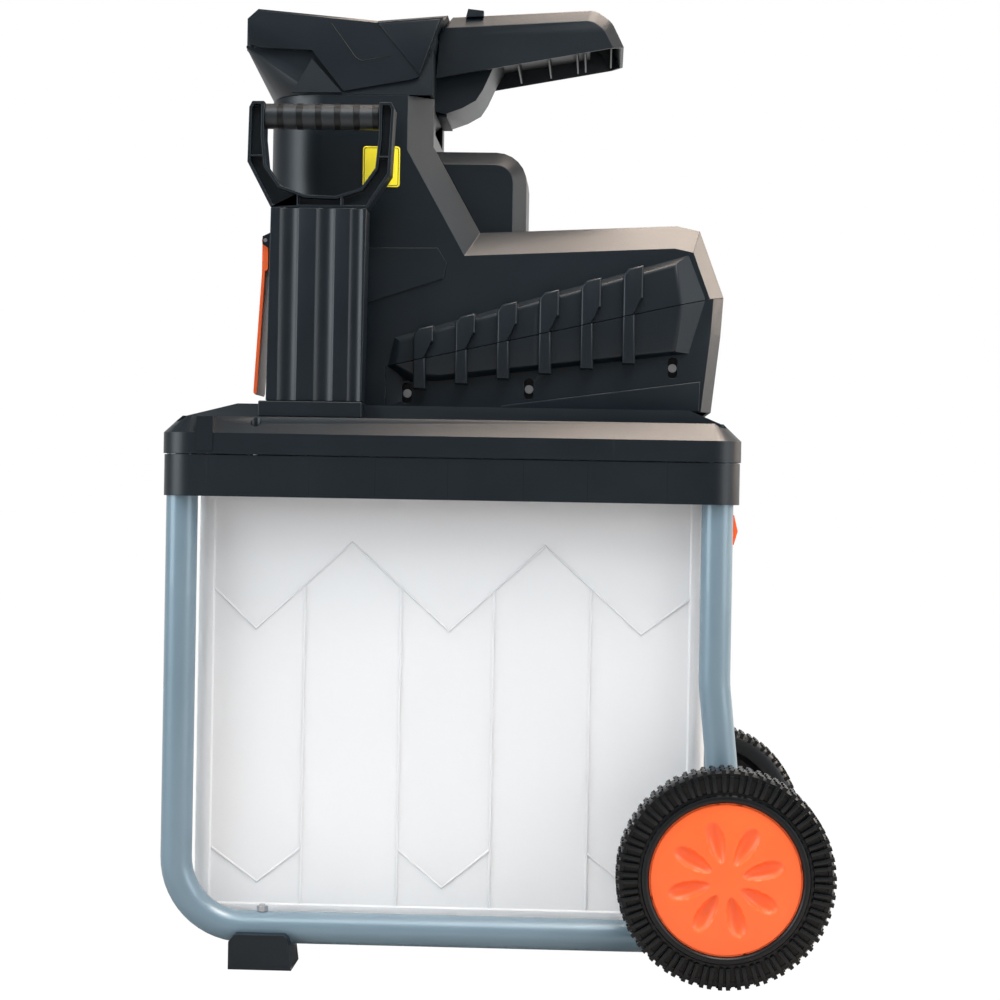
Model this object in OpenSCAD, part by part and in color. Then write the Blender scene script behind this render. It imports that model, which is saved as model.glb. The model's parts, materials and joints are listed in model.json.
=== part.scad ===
// Garden shredder: a toothed roller and its motor on a plastic deck, a tubular
// frame on two wheels and two feet, and a collection box that slides out to the
// front. Millimetres, +Z up, front of the machine towards -X, near side -Y.

/* [Overall] */
// Length from the front edge of the deck to the back of the wheels
overall_len = 663; // [655:1:672]
// Height of the underside of the deck skirt above the floor
skirt_z = 461; // [445:1:480]

/* [Frame] */
// Outer diameter of the frame tube
tube_d = 31; // [29.5:0.5:31.5]
// Wall of the frame tube
tube_wall = 1.5; // [1:0.1:2.5]
// Bend radius of the tube at the bottom corners
bend_r = 68; // [62:1:74]
// How far the rear leg leans back at the bottom, in degrees
rear_lean = 6; // [4:0.5:7.5]
// Height at which the rear leg turns upright
lean_z = 290; // [265:1:320]
// Height of the underside of the bottom tube above the floor
foot_lift = 21.5; // [18:0.5:25]
// Diameter of the two cross bars that carry the box
bar_d = 22; // [18:0.5:25]
// Length of a foot along the tube
foot_len = 58; // [50:1:68]
// Width of a foot across the tube
foot_w = 60; // [50:1:66]
// Height of a foot
foot_h = 34; // [30:0.5:36]
// Distance from the front leg to the middle of a foot
foot_at = 86.5; // [80:0.5:110]

/* [Wheels] */
// Wheel diameter over the tread
wheel_d = 210; // [200:1:216]
// Wheel width across the tread
wheel_w = 50; // [46:1:58]
// Gap between a frame tube and the wheel beside it
wheel_gap = 8.5; // [7.5:0.5:11]
// Diameter of the hub cap
cap_d = 146; // [136:1:150]
// Diameter of the wheel hub
hub_d = 36; // [30:1:44]
// Diameter of the axle
axle_d = 12; // [10:0.5:13]

/* [Deck] */
// Width of the deck
deck_w = 380; // [370:1:396]
// Distance from the front edge of the deck to the front leg
front_margin = 20; // [19.5:0.5:24]
// Distance from the rear leg to the rear edge of the deck
rear_margin = 22.5; // [20:0.5:28]
// Distance from the side of the deck to the legs
side_margin = 24; // [23.5:0.5:28]
// Corner radius of the deck seen from above
corner_r = 30; // [28:0.5:31]
// Height of the skirt under the seam
skirt_h = 40.5; // [38:0.5:46]
// Wall of the skirt and of the deck
deck_wall = 3.5; // [3:0.1:4.5]
// Height of the upright edge of the deck
deck_edge_h = 20.5; // [18:0.5:24]
// How far the sloping border of the deck runs in
bevel_in = 18; // [15:0.5:22]
// Height of the sloping border
bevel_h = 17; // [15:0.5:21]
// Height of the raised middle of the deck
plateau_h = 13.3; // [10:0.1:18]
// Width of the raised middle of the deck
plateau_w = 300; // [290:1:306]

/* [Collection box] */
// Wall of the box
box_wall = 3; // [2.5:0.1:4]
// Gap between the box and a frame tube
box_side_gap = 4.5; // [3:0.5:8]
// How far the rim of the box reaches up inside the skirt
box_rise = 27; // [20:0.5:30]
// Distance from the front edge of the deck to the box front
box_front_in = 33; // [30:0.5:40]
// Gap between the back of the box and the axle
box_rear_gap = 12.5; // [11:0.5:15]
// Corner radius of the box
box_r = 14; // [10:0.5:18]
// Depth of the hand pocket in the box front
pocket_in = 38; // [34:1:50]

/* [Housing] */
// Distance from the front edge of the deck to the column
col_front_in = 91.5; // [88:0.5:98]
// Length of the column along the machine
col_len = 165; // [158:1:172]
// Height of the column above the deck
col_h = 315; // [310:1:325]
// Radius of the two front corners of the column
col_r = 68; // [60:1:70]
// Width of the column and the motor cover
house_w = 208; // [206:1:216]
// Wall of the housings
wall = 3.5; // [3:0.1:4]
// Width of the bevelled border on the housing sides
face_bevel = 25; // [22:0.5:27]
// Height of the housing seam at its low end
seam_h = 41; // [38:0.5:44]
// Height of the housing seam at the rear
seam_end_h = 117; // [112:0.5:122]
// Height of the motor cover
motor_h = 184; // [180:1:192]
// How far the belt round the motor cover stands out
belt_out = 8; // [5:0.5:10]
// How far the ribs stand out from the belt
rib_out = 5; // [3:0.5:7]

/* [Hopper] */
// Height of the flared lower part of the hopper
flare_h = 46; // [40:1:52]
// How far the hopper reaches out past the column front
hopper_front = 26; // [20:0.5:30]
// Half of the width of the hopper body
hopper_hw = 98; // [94:0.5:100]
// Half of the width of the rear lip
lip_hw = 69; // [66:0.5:74]
// Wall of the hopper
hop_wall = 3; // [2.5:0.1:3.5]
// Half of the width of the feed throat
throat_hw = 48; // [44:0.5:50]

/* [Cutting unit] */
// Diameter over the teeth of the roller
roller_d = 92; // [86:1:94]
// Length of the roller
roller_len = 80; // [76:1:82]
// Number of teeth round the roller
roller_teeth = 8; // [6:1:10]
// Diameter of the roller shaft
shaft_d = 20; // [17:0.5:24]
// Gap between the roller and the counter plate at rest
cut_gap = 3; // [2.8:0.1:5]
// Thickness of the bearing plates
plate_t = 14; // [12:0.5:15]
// Height of the roller axis above the deck
roller_h = 58.7; // [56:0.5:62]

/* [Drive] */
// Height of the motor axis above the deck
motor_axis_h = 86.7; // [84:0.5:90]
// Gear module
gear_mod = 1.45; // [1.4:0.01:1.5]
// Teeth of the small gears
pinion_teeth = 12; // [12:1:13]
// Teeth of the large gears
gear_teeth = 60; // [54:1:60]
// Width of the output gear pair
gear_w = 14; // [10:0.5:14]
// Diameter of the stator
stator_d = 134; // [124:1:136]
// Diameter of the rotor
rotor_d = 79; // [70:1:84]
// Length of the stator
stator_len = 130; // [110:1:132]

/* [Controls] */
// Diameter of the adjusting knob
knob_d = 52; // [44:1:58]
// Diameter of the start button
start_d = 16; // [14:0.5:18]
// Diameter of the stop button
stop_d = 20; // [18:0.5:22]
// Half of the width of the stop flap
flap_hw = 30; // [26:0.5:30.5]

/* [Plunger] */
// Width of the plunger blade
blade_w = 95; // [90:1:98]
// Thickness of the plunger blade
blade_t = 36; // [32:0.5:38]
// Height of the plunger blade
blade_h = 191; // [182:1:198]
// Width of the plunger handle
handle_w = 144; // [138:1:150]
// Height of the plunger handle
handle_h = 105; // [98:1:110]
// Diameter of the grip over its rings
grip_d = 26; // [24:0.5:28]

/* [Fits] */
// Radial clearance of turning shafts
run = 0.06; // [0.04:0.01:0.08]
// Gap between pieces that sit against each other
fit = 0.2; // [0.15:0.01:0.25]
// Gap between pieces that move past each other
gap = 0.35; // [0.3:0.01:0.5]

/* [Hidden] */
$fn = 64;
eps = 0.02;
deg = 180 / PI;

// Colours
black = [0.07, 0.08, 0.09];
grey_tube = [0.45, 0.52, 0.56];
orange = [0.95, 0.28, 0.12];
yellow = [0.93, 0.86, 0.15];
clear_white = [0.93, 0.93, 0.91];
steel = [0.62, 0.63, 0.65];
alloy = [0.72, 0.73, 0.74];

// Main positions along the machine
x_front = -overall_len / 2;
wheel_x = overall_len / 2 - wheel_d / 2;
wheel_z = wheel_d / 2;

// Frame: the rear bend starts a little behind the axle, the upright leg follows
tube_r = tube_d / 2;
tube_z = foot_lift + tube_r;
lean_r = 90;
front_x = x_front + front_margin;
bend_z = tube_z + bend_r;
rear_bend_x = wheel_x + 7.6 - bend_r;
leg_low = [rear_bend_x + bend_r * cos(rear_lean), bend_z + bend_r * sin(rear_lean)];
leg_high_z = lean_z - lean_r * sin(rear_lean);
leg_run = (leg_high_z - leg_low[1]) / cos(rear_lean);
leg_high = [leg_low[0] - leg_run * sin(rear_lean), leg_high_z];
rear_x = leg_high[0] - lean_r * (1 - cos(rear_lean));
tube_y = deck_w / 2 - side_margin;
bar_x = [front_x + 150, rear_x - 75];
foot_x = front_x + foot_at;

// Deck heights
deck_x0 = x_front;
deck_x1 = rear_x + rear_margin;
deck_hw = deck_w / 2;
skirt_top = skirt_z + skirt_h;
deck_z0 = skirt_top + 1;
deck_z1 = deck_z0 + deck_edge_h;
deck_z2 = deck_z1 + bevel_h;
deck_top = deck_z2 + plateau_h;
tube_top = deck_z0 - fit;
plat_x0 = deck_x0 + bevel_in + 1;
plat_x1 = deck_x1 - bevel_in - 1;

// Box
box_hw = tube_y - tube_r - box_side_gap;
box_x0 = deck_x0 + box_front_in;
box_x1 = wheel_x - axle_d / 2 - box_rear_gap;
box_z0 = tube_z + bar_d / 2 + gap;
box_z1 = skirt_z + box_rise;

// Wheels
wheel_in = tube_y + tube_r + wheel_gap;
wheel_out = wheel_in + wheel_w;
hub_in = -2;
hub_out = wheel_w - 18;
seat_w = wheel_w - 12;

// Housing corners, as [x, z] seen from the near side
house_z = deck_top + fit;
cx = x_front + col_front_in;
col_x = cx - 4;
col_rear = cx + col_len;
col_top = deck_top + col_h;
house_hw = house_w / 2;
seam_x = cx + 122;
seam_z = deck_top + seam_h;
motor_rear = cx + 462;
seam_end = deck_top + seam_end_h;
elbow = [cx + 214, deck_top + motor_h - 4.5];
shoulder_z = elbow[1] + 87;
crest = [cx + 413.5, deck_top + motor_h + 5];
top_rear = [cx + 437, deck_top + motor_h];
step_pt = [motor_rear - 2.5, deck_top + 77.7];
base_rear = [motor_rear - 11, house_z];
function seam_at(x) = seam_z + (x - seam_x) * (seam_end - seam_z) / (motor_rear - seam_x);
seam_gap = gap / cos(atan((seam_end - seam_z) / (motor_rear - seam_x)));

upper_pts = [[col_x, house_z], [seam_x, house_z], [seam_x, seam_z],
    [motor_rear, seam_end], top_rear, crest, elbow, [col_rear, shoulder_z],
    [col_rear, col_top], [col_x, col_top]];
lower_pts = [[seam_x + gap, house_z], base_rear, step_pt,
    [motor_rear, seam_end - seam_gap], [seam_x + gap, seam_at(seam_x + gap) - seam_gap]];

// Belt and ribs along the seam on both sides
belt_x0 = seam_x + 8;
belt_x1 = motor_rear - 40;
rib_x = [for (i = [0:5]) seam_x + 29 + 42 * i];
function belt_up(x) = 20 + 23 * (x - belt_x0) / (belt_x1 - belt_x0);
function belt_dn(x) = 18 + 28 * (x - belt_x0) / (belt_x1 - belt_x0);

// Cutting unit and drive along the machine
roller_x0 = cx + 36;
roller_x1 = roller_x0 + roller_len;
roller_z = deck_top + roller_h;
plate1_x1 = roller_x0 - 4;
plate1_x0 = plate1_x1 - plate_t;
plate2_x0 = roller_x1 + 4;
plate2_x1 = plate2_x0 + plate_t;
out_x0 = plate2_x1 + 4;
out_x1 = out_x0 + gear_w;
in_x0 = out_x1 + 4;
in_x1 = in_x0 + 12;
shield_x0 = in_x1 + 6;
shield_x1 = shield_x0 + 14;
stator_x0 = shield_x1 + 12;
stator_x1 = stator_x0 + stator_len;
rear_sh_x0 = stator_x1 + 12;
rear_sh_x1 = rear_sh_x0 + 10;
fan_x0 = rear_sh_x1 + 6;
fan_x1 = fan_x0 + 18;
motor_z = deck_top + motor_axis_h;
gear_cd = gear_mod * (pinion_teeth + gear_teeth) / 2;
axis_drop = (motor_z - roller_z) / 2;
cluster_y = sqrt(gear_cd * gear_cd - axis_drop * axis_drop);
cluster_z = (motor_z + roller_z) / 2;
cluster_d = 12;
motor_sh_d = 17;
gear_tip = gear_mod * (gear_teeth + 2) / 2;
bear_od = shaft_d + 22;
motor_bear_od = motor_sh_d + 20;
throat_x0 = roller_x0 - 5;
throat_x1 = roller_x1 + 9;
throat_z0 = roller_z + roller_d / 2 + 8;
knob_x = (roller_x0 + roller_x1) / 2;
screw_d = 10;

// Controls on the column front
panel_x = col_x - 3;
hinge = [col_x - 8, deck_top + 174];
start_z = deck_top + 116;
stop_z = deck_top + 74;

// Hopper
hop_z0 = col_top + fit;
hop_z1 = hop_z0 + flare_h;
hop_x0 = cx - hopper_front;
rim = [[hop_x0, hop_z1 + 32], [hop_x0 + 11, hop_z1 + 42], [cx + 107, hop_z1 + 31],
    [cx + 178, hop_z1 + 37]];
lip_pts = [[col_rear + fit, hop_z1 - 23], [cx + 357, hop_z1 + 12], [cx + 344, hop_z1 + 38],
    [cx + 327, hop_z1 + 49.5], [cx + 181, hop_z1 + 41], [col_rear + 3 + gap, hop_z1 + 20]];
lip_bevel = [0, 11, 12, 12, 0, 0];

// Plunger
plunger_y = -(house_hw + 38);
blade_x = cx + 56;
blade_tilt = 2;
groove_at = [0.205, 0.585, 0.905];
groove_d = [28, 28, 20];
groove_in = [3.7, 3.7, 2.4];
blade_z0 = deck_top + 3;
blade_z1 = blade_z0 + blade_h;
handle_z0 = blade_z1 + fit;
handle_x = cx + 59;
flange = 3;
web_t = 12;
grip_z = handle_z0 + handle_h - grip_d / 2;

// Box lock at the rear
guide_x1 = deck_x1 - deck_wall - 1 - fit;
guide_x0 = guide_x1 - 9;
lock_z = skirt_z - 43;

// Shapes built along an axis
module box3(x0, x1, y0, y1, z0, z1)
    translate([x0, y0, z0]) cube([x1 - x0, y1 - y0, z1 - z0]);
module cyl_x(d, y, z, x0, x1)
    translate([x0, y, z]) rotate([0, 90, 0]) cylinder(d = d, h = x1 - x0);
module cyl_y(d, x, z, y0, y1)
    translate([x, y0, z]) rotate([-90, 0, 0]) cylinder(d = d, h = y1 - y0);
module cyl_z(d, x, y, z0, z1)
    translate([x, y, z0]) cylinder(d = d, h = z1 - z0);
module xz_prism(pts, y0, y1)
    translate([0, y1, 0]) rotate([90, 0, 0]) linear_extrude(y1 - y0) polygon(pts);
module yz_prism(pts, x0, x1)
    translate([x0, 0, 0]) rotate([90, 0, 90]) linear_extrude(x1 - x0) polygon(pts);
module both_sides() { children(); mirror([0, 1, 0]) children(); }

// Rounded rectangle and the tapering block that stands on one
module rrect(x0, x1, y0, y1, r) {
    translate([x0 + r, y0]) square([x1 - x0 - 2 * r, y1 - y0]);
    translate([x0, y0 + r]) square([x1 - x0, y1 - y0 - 2 * r]);
    for (x = [x0 + r, x1 - r]) for (y = [y0 + r, y1 - r]) translate([x, y]) circle(r);
}
module slab(x0, x1, y0, y1, r, z0, z1)
    translate([0, 0, z0]) linear_extrude(z1 - z0) rrect(x0, x1, y0, y1, r);
module frustum(x0, x1, hw, r, inset, z0, z1, corner_in = 0) {
    yz_prism([[-hw, z0], [hw, z0], [hw - inset, z1], [inset - hw, z1]], x0 + r, x1 - r);
    xz_prism([[x0, z0], [x1, z0], [x1 - inset, z1], [x0 + inset, z1]], r - hw, hw - r);
    for (x = [x0 + r, x1 - r]) for (y = [r - hw, hw - r])
        translate([x, y, z0]) cylinder(r1 = r - corner_in, r2 = r - inset - corner_in, h = z1 - z0);
}

// Outline moved inwards by its own distance on each edge
function edge_n(a, b) = [b[1] - a[1], a[0] - b[0]] / norm(b - a);
function cross2(a, b) = a[0] * b[1] - a[1] * b[0];
function inset(pts, d) = [for (i = [0 : len(pts) - 1])
    let (n = len(pts), a = pts[(i + n - 1) % n], b = pts[i], c = pts[(i + 1) % n],
        p = b - edge_n(a, b) * d[(i + n - 1) % n], q = b - edge_n(b, c) * d[i],
        k = cross2(b - a, c - b))
    abs(k) < 0.001 ? p : p + (b - a) * cross2(q - p, c - b) / k];

// Side profile with sloping borders on the near and far faces. tri lists the
// triangles of a face; without it the face is fanned from its first corner.
module bevel_prism(pts, d, hw, depth, tri = []) {
    n = len(pts);
    small = inset(pts, d);
    cap = len(tri) > 0 ? tri : [for (i = [1 : n - 2]) [0, i, i + 1]];
    ring = [[-hw, small], [depth - hw, pts], [hw - depth, pts], [hw, small]];
    polyhedron(points = [for (r = ring) for (p = r[1]) [p[0], r[0], p[1]]],
        faces = concat([for (t = cap) [t[0], t[2], t[1]]],
            [for (k = [0 : 2]) for (i = [0 : n - 1])
                [k * n + i, k * n + (i + 1) % n, (k + 1) * n + (i + 1) % n, (k + 1) * n + i]],
            [for (t = cap) [3 * n + t[0], 3 * n + t[1], 3 * n + t[2]]]));
}

// Involute gear seen along its axis, tooth centred on angle 0
function invo(a) = tan(a) * deg - a;
module gear_2d(teeth, steps) {
    pa = 25;
    rp = gear_mod * teeth / 2;
    rb = rp * cos(pa);
    ro = rp + gear_mod;
    rr = rp - 1.25 * gear_mod;
    r0 = max(rb, rr) + 0.001;
    function half(r) = 90 / teeth + invo(pa) - invo(acos(rb / r)) - 0.11 / rp * deg;
    rad = [for (i = [0 : steps]) r0 + (ro - r0) * i / steps];
    polygon([for (k = [0 : teeth - 1]) let (c = k * 360 / teeth) each concat(
        [rr * [cos(c - half(r0)), sin(c - half(r0))]],
        [for (i = [0 : steps]) rad[i] * [cos(c - half(rad[i])), sin(c - half(rad[i]))]],
        [for (i = [steps : -1 : 0]) rad[i] * [cos(c + half(rad[i])), sin(c + half(rad[i]))]],
        [rr * [cos(c + half(r0)), sin(c + half(r0))]])]);
}
module gear_x(teeth, steps, phase, y, z, x0, x1)
    translate([x0, y, z]) rotate([90, 0, 90]) rotate([0, 0, phase])
        linear_extrude(x1 - x0) gear_2d(teeth, steps);

// Screw with a round head, shank downwards
module screw_z(x, y, z, len) {
    cyl_z(8.5, x, y, z, z + 4);
    cyl_z(4.5, x, y, z - len, z + eps);
}

// Frame
module arc_xz(x, z, r, from, turn, d)
    translate([x, 0, z]) rotate([90, 0, 0]) rotate([0, 0, from])
        rotate_extrude(angle = turn) translate([r, 0]) circle(d = d);
module lean_piece(z0, z1, d)
    translate([leg_low[0], 0, leg_low[1]]) rotate([0, -rear_lean, 0]) cyl_z(d, 0, 0, z0, z1);
// The bent tube as rings along its path: [x, z, angle of the ring's inner side]
tube_sides = 24;
frame_path = concat([[front_x, tube_top, 0]],
    [for (i = [0 : 8]) let (t = 180 + 90 * i / 8)
        [front_x + bend_r + bend_r * cos(t), bend_z + bend_r * sin(t), t - 180]],
    [for (i = [0 : 8]) let (t = 270 + (90 + rear_lean) * i / 8)
        [rear_bend_x + bend_r * cos(t), bend_z + bend_r * sin(t), t - 180]],
    [for (i = [0 : 2]) let (t = 180 + rear_lean * (1 - i / 2))
        [rear_x + lean_r + lean_r * cos(t), lean_z + lean_r * sin(t), t]],
    [[rear_x, tube_top, 180]]);
module bent_tube() {
    n = tube_sides;
    m = len(frame_path);
    polyhedron(points = [for (r = [tube_r, tube_r - tube_wall]) for (q = frame_path) for (j = [0 : n - 1])
            let (t = 360 * j / n) [q[0] + r * cos(t) * cos(q[2]), r * sin(t), q[1] + r * cos(t) * sin(q[2])]],
        faces = [for (j = [0 : n - 1]) let (u = (j + 1) % n, b = m * n, e = (m - 1) * n) each concat(
            [for (k = [0 : m - 2]) [k * n + j, k * n + u, (k + 1) * n + u, (k + 1) * n + j]],
            [for (k = [0 : m - 2]) [b + (k + 1) * n + j, b + (k + 1) * n + u, b + k * n + u, b + k * n + j]],
            [[u, j, b + j, b + u], [e + j, e + u, b + e + u, b + e + j]])]);
}
module side_frame() {
    color(grey_tube) difference() {
        bent_tube();
        cyl_y(axle_d + 2 * fit, wheel_x, wheel_z, -tube_d, tube_d);
        cyl_z(6 + 2 * fit, foot_x, 0, 0, tube_z + tube_d);
    }
}
module frame_tube_near() translate([0, -tube_y, 0]) side_frame();
module frame_tube_far() translate([0, tube_y, 0]) side_frame();
module cross_bars() {
    color(grey_tube) difference() {
        for (x = bar_x) cyl_y(bar_d, x, tube_z, -tube_y, tube_y);
        for (x = bar_x) cyl_y(bar_d - 3, x, tube_z, -tube_y - 1, tube_y + 1);
        for (y = [-tube_y, tube_y]) cyl_x(tube_d + 0.1, y, tube_z, bar_x[0] - 40, bar_x[1] + 40);
    }
}
module foot(y) {
    color(black) difference() {
        xz_prism([[foot_x - foot_len / 2, 0], [foot_x + foot_len / 2 + 4, 0],
            [foot_x + foot_len / 2, foot_h - 4], [foot_x + foot_len / 2 - 4, foot_h],
            [foot_x - foot_len / 2 + 6, foot_h], [foot_x - foot_len / 2, foot_h - 7]],
            y - foot_w / 2, y + foot_w / 2);
        cyl_x(tube_d + 2 * fit, y, tube_z, foot_x - foot_len, foot_x + foot_len);
        cyl_z(6 + 2 * fit, foot_x, y, -1, tube_z);
        cyl_z(14, foot_x, y, -1, 8);
    }
}
module foot_near() foot(-tube_y);
module foot_far() foot(tube_y);
module foot_screws() {
    color(steel) for (y = [-tube_y, tube_y]) {
        cyl_z(12, foot_x, y, 3, 8 - fit);
        cyl_z(6, foot_x, y, 7, tube_z + tube_r + 7);
        translate([foot_x, y, tube_z + tube_r + fit]) cylinder(d = 11, h = 5, $fn = 6);
    }
}

// Axle and wheels
module axle()
    color(steel) cyl_y(axle_d, wheel_x, wheel_z, -(wheel_in + hub_out + 5), wheel_in + hub_out + 5);
// Spacers between the frame and the hubs, and the clips outside the hubs
module axle_fittings() {
    color(steel) both_sides() {
        difference() {
            cyl_y(hub_d - 8, wheel_x, wheel_z, wheel_in + hub_out + gap, wheel_in + hub_out + gap + 2);
            cyl_y(axle_d + 0.1, wheel_x, wheel_z, wheel_in, wheel_out);
        }
        difference() {
            cyl_y(axle_d + 9, wheel_x, wheel_z, tube_y + 8, wheel_in + hub_in - gap);
            cyl_y(axle_d + 0.1, wheel_x, wheel_z, tube_y, wheel_out);
            translate([0, tube_y, 0]) arc_xz(rear_bend_x, bend_z, bend_r, 270, 90 + rear_lean,
                tube_d + 7 * fit);
            translate([0, tube_y, 0]) lean_piece(-1, 40, tube_d + 8 * fit);
        }
    }
}
module wheel() {
    r = wheel_d / 2;
    color(black) rotate_extrude() polygon([[axle_d / 2 + run, hub_in], [hub_d / 2, hub_in],
        [hub_d / 2, 20], [r - 21, 20], [r - 17, 0], [r - 6, 0], [r, 5], [r, wheel_w - 5],
        [r - 6, wheel_w], [cap_d / 2 + 2, wheel_w], [cap_d / 2 + fit, wheel_w - 2],
        [cap_d / 2 + fit, seat_w], [cap_d / 2 - 7, seat_w], [cap_d / 2 - 7, 26], [hub_d / 2, 26],
        [hub_d / 2, hub_out], [axle_d / 2 + run, hub_out]]);
}
module hub_cap() {
    r = cap_d / 2;
    dome = [for (i = [0 : 6]) let (t = i / 6) [r * (1 - t), wheel_w - 4 + 3.6 * (1 - (1 - t) * (1 - t))]];
    color(orange) difference() {
        rotate_extrude() polygon(concat([[0, wheel_w - 7], [r - 9, wheel_w - 8.5], [r - 3.5, wheel_w - 9],
            [r - 3.5, seat_w + fit], [r, seat_w + fit]], dome));
        // Eight petal hollows, each a shallow barrel lying along a radius
        for (k = [0 : 7]) rotate([0, 0, 45 * k + 11]) translate([r * 0.5, 0, wheel_w + 9])
            rotate([0, 90, 0]) rotate_extrude() polygon(concat([[0, 24], [0, -24]],
                [for (t = [-24 : 12 : 24]) [12.3 - t * t / 115, t]]));
    }
}
module near_wheel_place() translate([wheel_x, -wheel_in, wheel_z]) rotate([90, 0, 0]) children();
module far_wheel_place() translate([wheel_x, wheel_in, wheel_z]) rotate([-90, 0, 0]) children();
module wheel_near() near_wheel_place() wheel();
module wheel_far() far_wheel_place() wheel();
module hub_cap_near() near_wheel_place() hub_cap();
module hub_cap_far() far_wheel_place() hub_cap();

// Deck: a skirt ring on the four legs and a cover on top of it
mid_screws = [for (s = [-1, 1]) [cx + 2, s * (deck_hw - 12)]];
leg_tops = [for (x = [front_x, rear_x]) for (s = [-1, 1]) [x, s * tube_y]];
module base_skirt() {
    x0 = deck_x0 + 1;
    x1 = deck_x1 - 1;
    hw = deck_hw - 1;
    color(black) difference() {
        union() {
            difference() {
                slab(x0, x1, -hw, hw, corner_r - 1, skirt_z, skirt_top);
                slab(x0 + deck_wall, x1 - deck_wall, deck_wall - hw, hw - deck_wall,
                    corner_r - 1 - deck_wall, skirt_z - 1, skirt_top + 1);
            }
            intersection() {
                slab(x0, x1, -hw, hw, corner_r - 1, skirt_z + 4, skirt_top);
                union() {
                    for (p = leg_tops) cyl_z(tube_d + 9, p[0], p[1], skirt_z + 4, skirt_top);
                    for (p = mid_screws) translate([p[0] - 6, p[1] > 0 ? p[1] - 6 : p[1] - 12, skirt_z + 4])
                        cube([12, 18, skirt_h - 4]);
                }
            }
        }
        for (p = leg_tops) cyl_z(tube_d + 2 * fit, p[0], p[1], skirt_z - 1, skirt_top + 1);
        for (p = mid_screws) cyl_z(4.5 + 2 * fit, p[0], p[1], skirt_z + 15, skirt_top + 1);
        // The box passes under the front wall through this notch
        box3(x0 - 5, x0 + deck_wall + 12, -box_hw - 1.5, box_hw + 1.5, skirt_z - 1, box_z1 + 3);
    }
}
module deck_outer() {
    slab(deck_x0, deck_x1, -deck_hw, deck_hw, corner_r, deck_z0, deck_z1);
    frustum(deck_x0, deck_x1, deck_hw, corner_r, bevel_in, deck_z1 - eps, deck_z2);
}
module base_deck() {
    w = deck_wall;
    in_h = bevel_h - w;
    color(black) difference() {
        union() {
            difference() {
                union() {
                    deck_outer();
                    xz_prism([[plat_x0, deck_z2 - 1], [plat_x1, deck_z2 - 1], [plat_x1, deck_z2],
                        [plat_x1 - 32, deck_top], [plat_x0 + 52, deck_top], [plat_x0, deck_z2]],
                        -plateau_w / 2, plateau_w / 2);
                    // Small upright lug on the border beside each front leg
                    both_sides() box3(deck_x0 + 37, deck_x0 + 53, deck_hw - 14, deck_hw + 0.8, deck_z0 + 3,
                        deck_z2 - 1);
                }
                slab(deck_x0 + w, deck_x1 - w, w - deck_hw, deck_hw - w, corner_r - w, deck_z0 - 1, deck_z1);
                frustum(deck_x0 + w, deck_x1 - w, deck_hw - w, corner_r - w, bevel_in * in_h / bevel_h,
                    deck_z1 - eps, deck_z2 - w, 0.5);
                box3(plat_x0 + 58, plat_x1 - 40, 4 - plateau_w / 2, plateau_w / 2 - 4, deck_z2 - w - 1,
                    deck_top - 4);
            }
            intersection() {
                deck_outer();
                union() {
                    for (p = leg_tops) cyl_z(tube_d + 6, p[0], p[1], deck_z0, deck_z2);
                    for (p = mid_screws) cyl_z(14, p[0], p[1], deck_z0, deck_z2);
                }
            }
            for (p = leg_tops) cyl_z(tube_d - 2 * tube_wall - 2 * fit, p[0], p[1], deck_z0 - 20, deck_z0 + 1);
        }
        for (p = leg_tops) cyl_z(14, p[0], p[1], deck_z1 + 6, deck_top);
        for (p = leg_tops) cyl_z(4.5 + 2 * fit, p[0], p[1], deck_z0 - 21, deck_top);
        for (p = mid_screws) cyl_z(10, p[0], p[1], deck_z1 + 2, deck_top);
        for (p = mid_screws) cyl_z(4.5 + 2 * fit, p[0], p[1], deck_z0 - 1, deck_top);
        // Chip opening under the roller
        box3(roller_x0 - 2, roller_x1 + 2, -46, 46, deck_z0, deck_top + 1);
    }
}
module deck_screws() {
    color(steel) {
        for (p = leg_tops) screw_z(p[0], p[1], deck_z1 + 6 + fit, deck_edge_h + 20);
        for (p = mid_screws) screw_z(p[0], p[1], deck_z1 + 2 + fit, deck_edge_h + 20);
    }
}

// Box lock: a guide hanging inside the rear wall of the skirt and its slider
module lock_guide() {
    color(black) difference() {
        box3(guide_x0, guide_x1, -28, 28, lock_z - 6, skirt_top - 2);
        box3(guide_x0 - 1, guide_x1 + 1, -5 - gap, 5 + gap, lock_z - 4 - gap, lock_z + 21 + gap);
    }
}
module lock_slider() {
    color(orange) {
        xz_prism([[guide_x1 + gap, lock_z], [guide_x1 + 7, lock_z + 0.5], [guide_x1 + 11, lock_z + 15],
            [guide_x1 + 7, lock_z + 32], [guide_x1 + gap, lock_z + 32]], -16, 16);
        box3(guide_x0 - gap - 1, guide_x1 + 1, -5, 5, lock_z + 7, lock_z + 21);
        box3(guide_x0 - gap - 7, guide_x0 - gap, -10, 10, lock_z - 8, lock_z + 26);
    }
}

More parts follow.
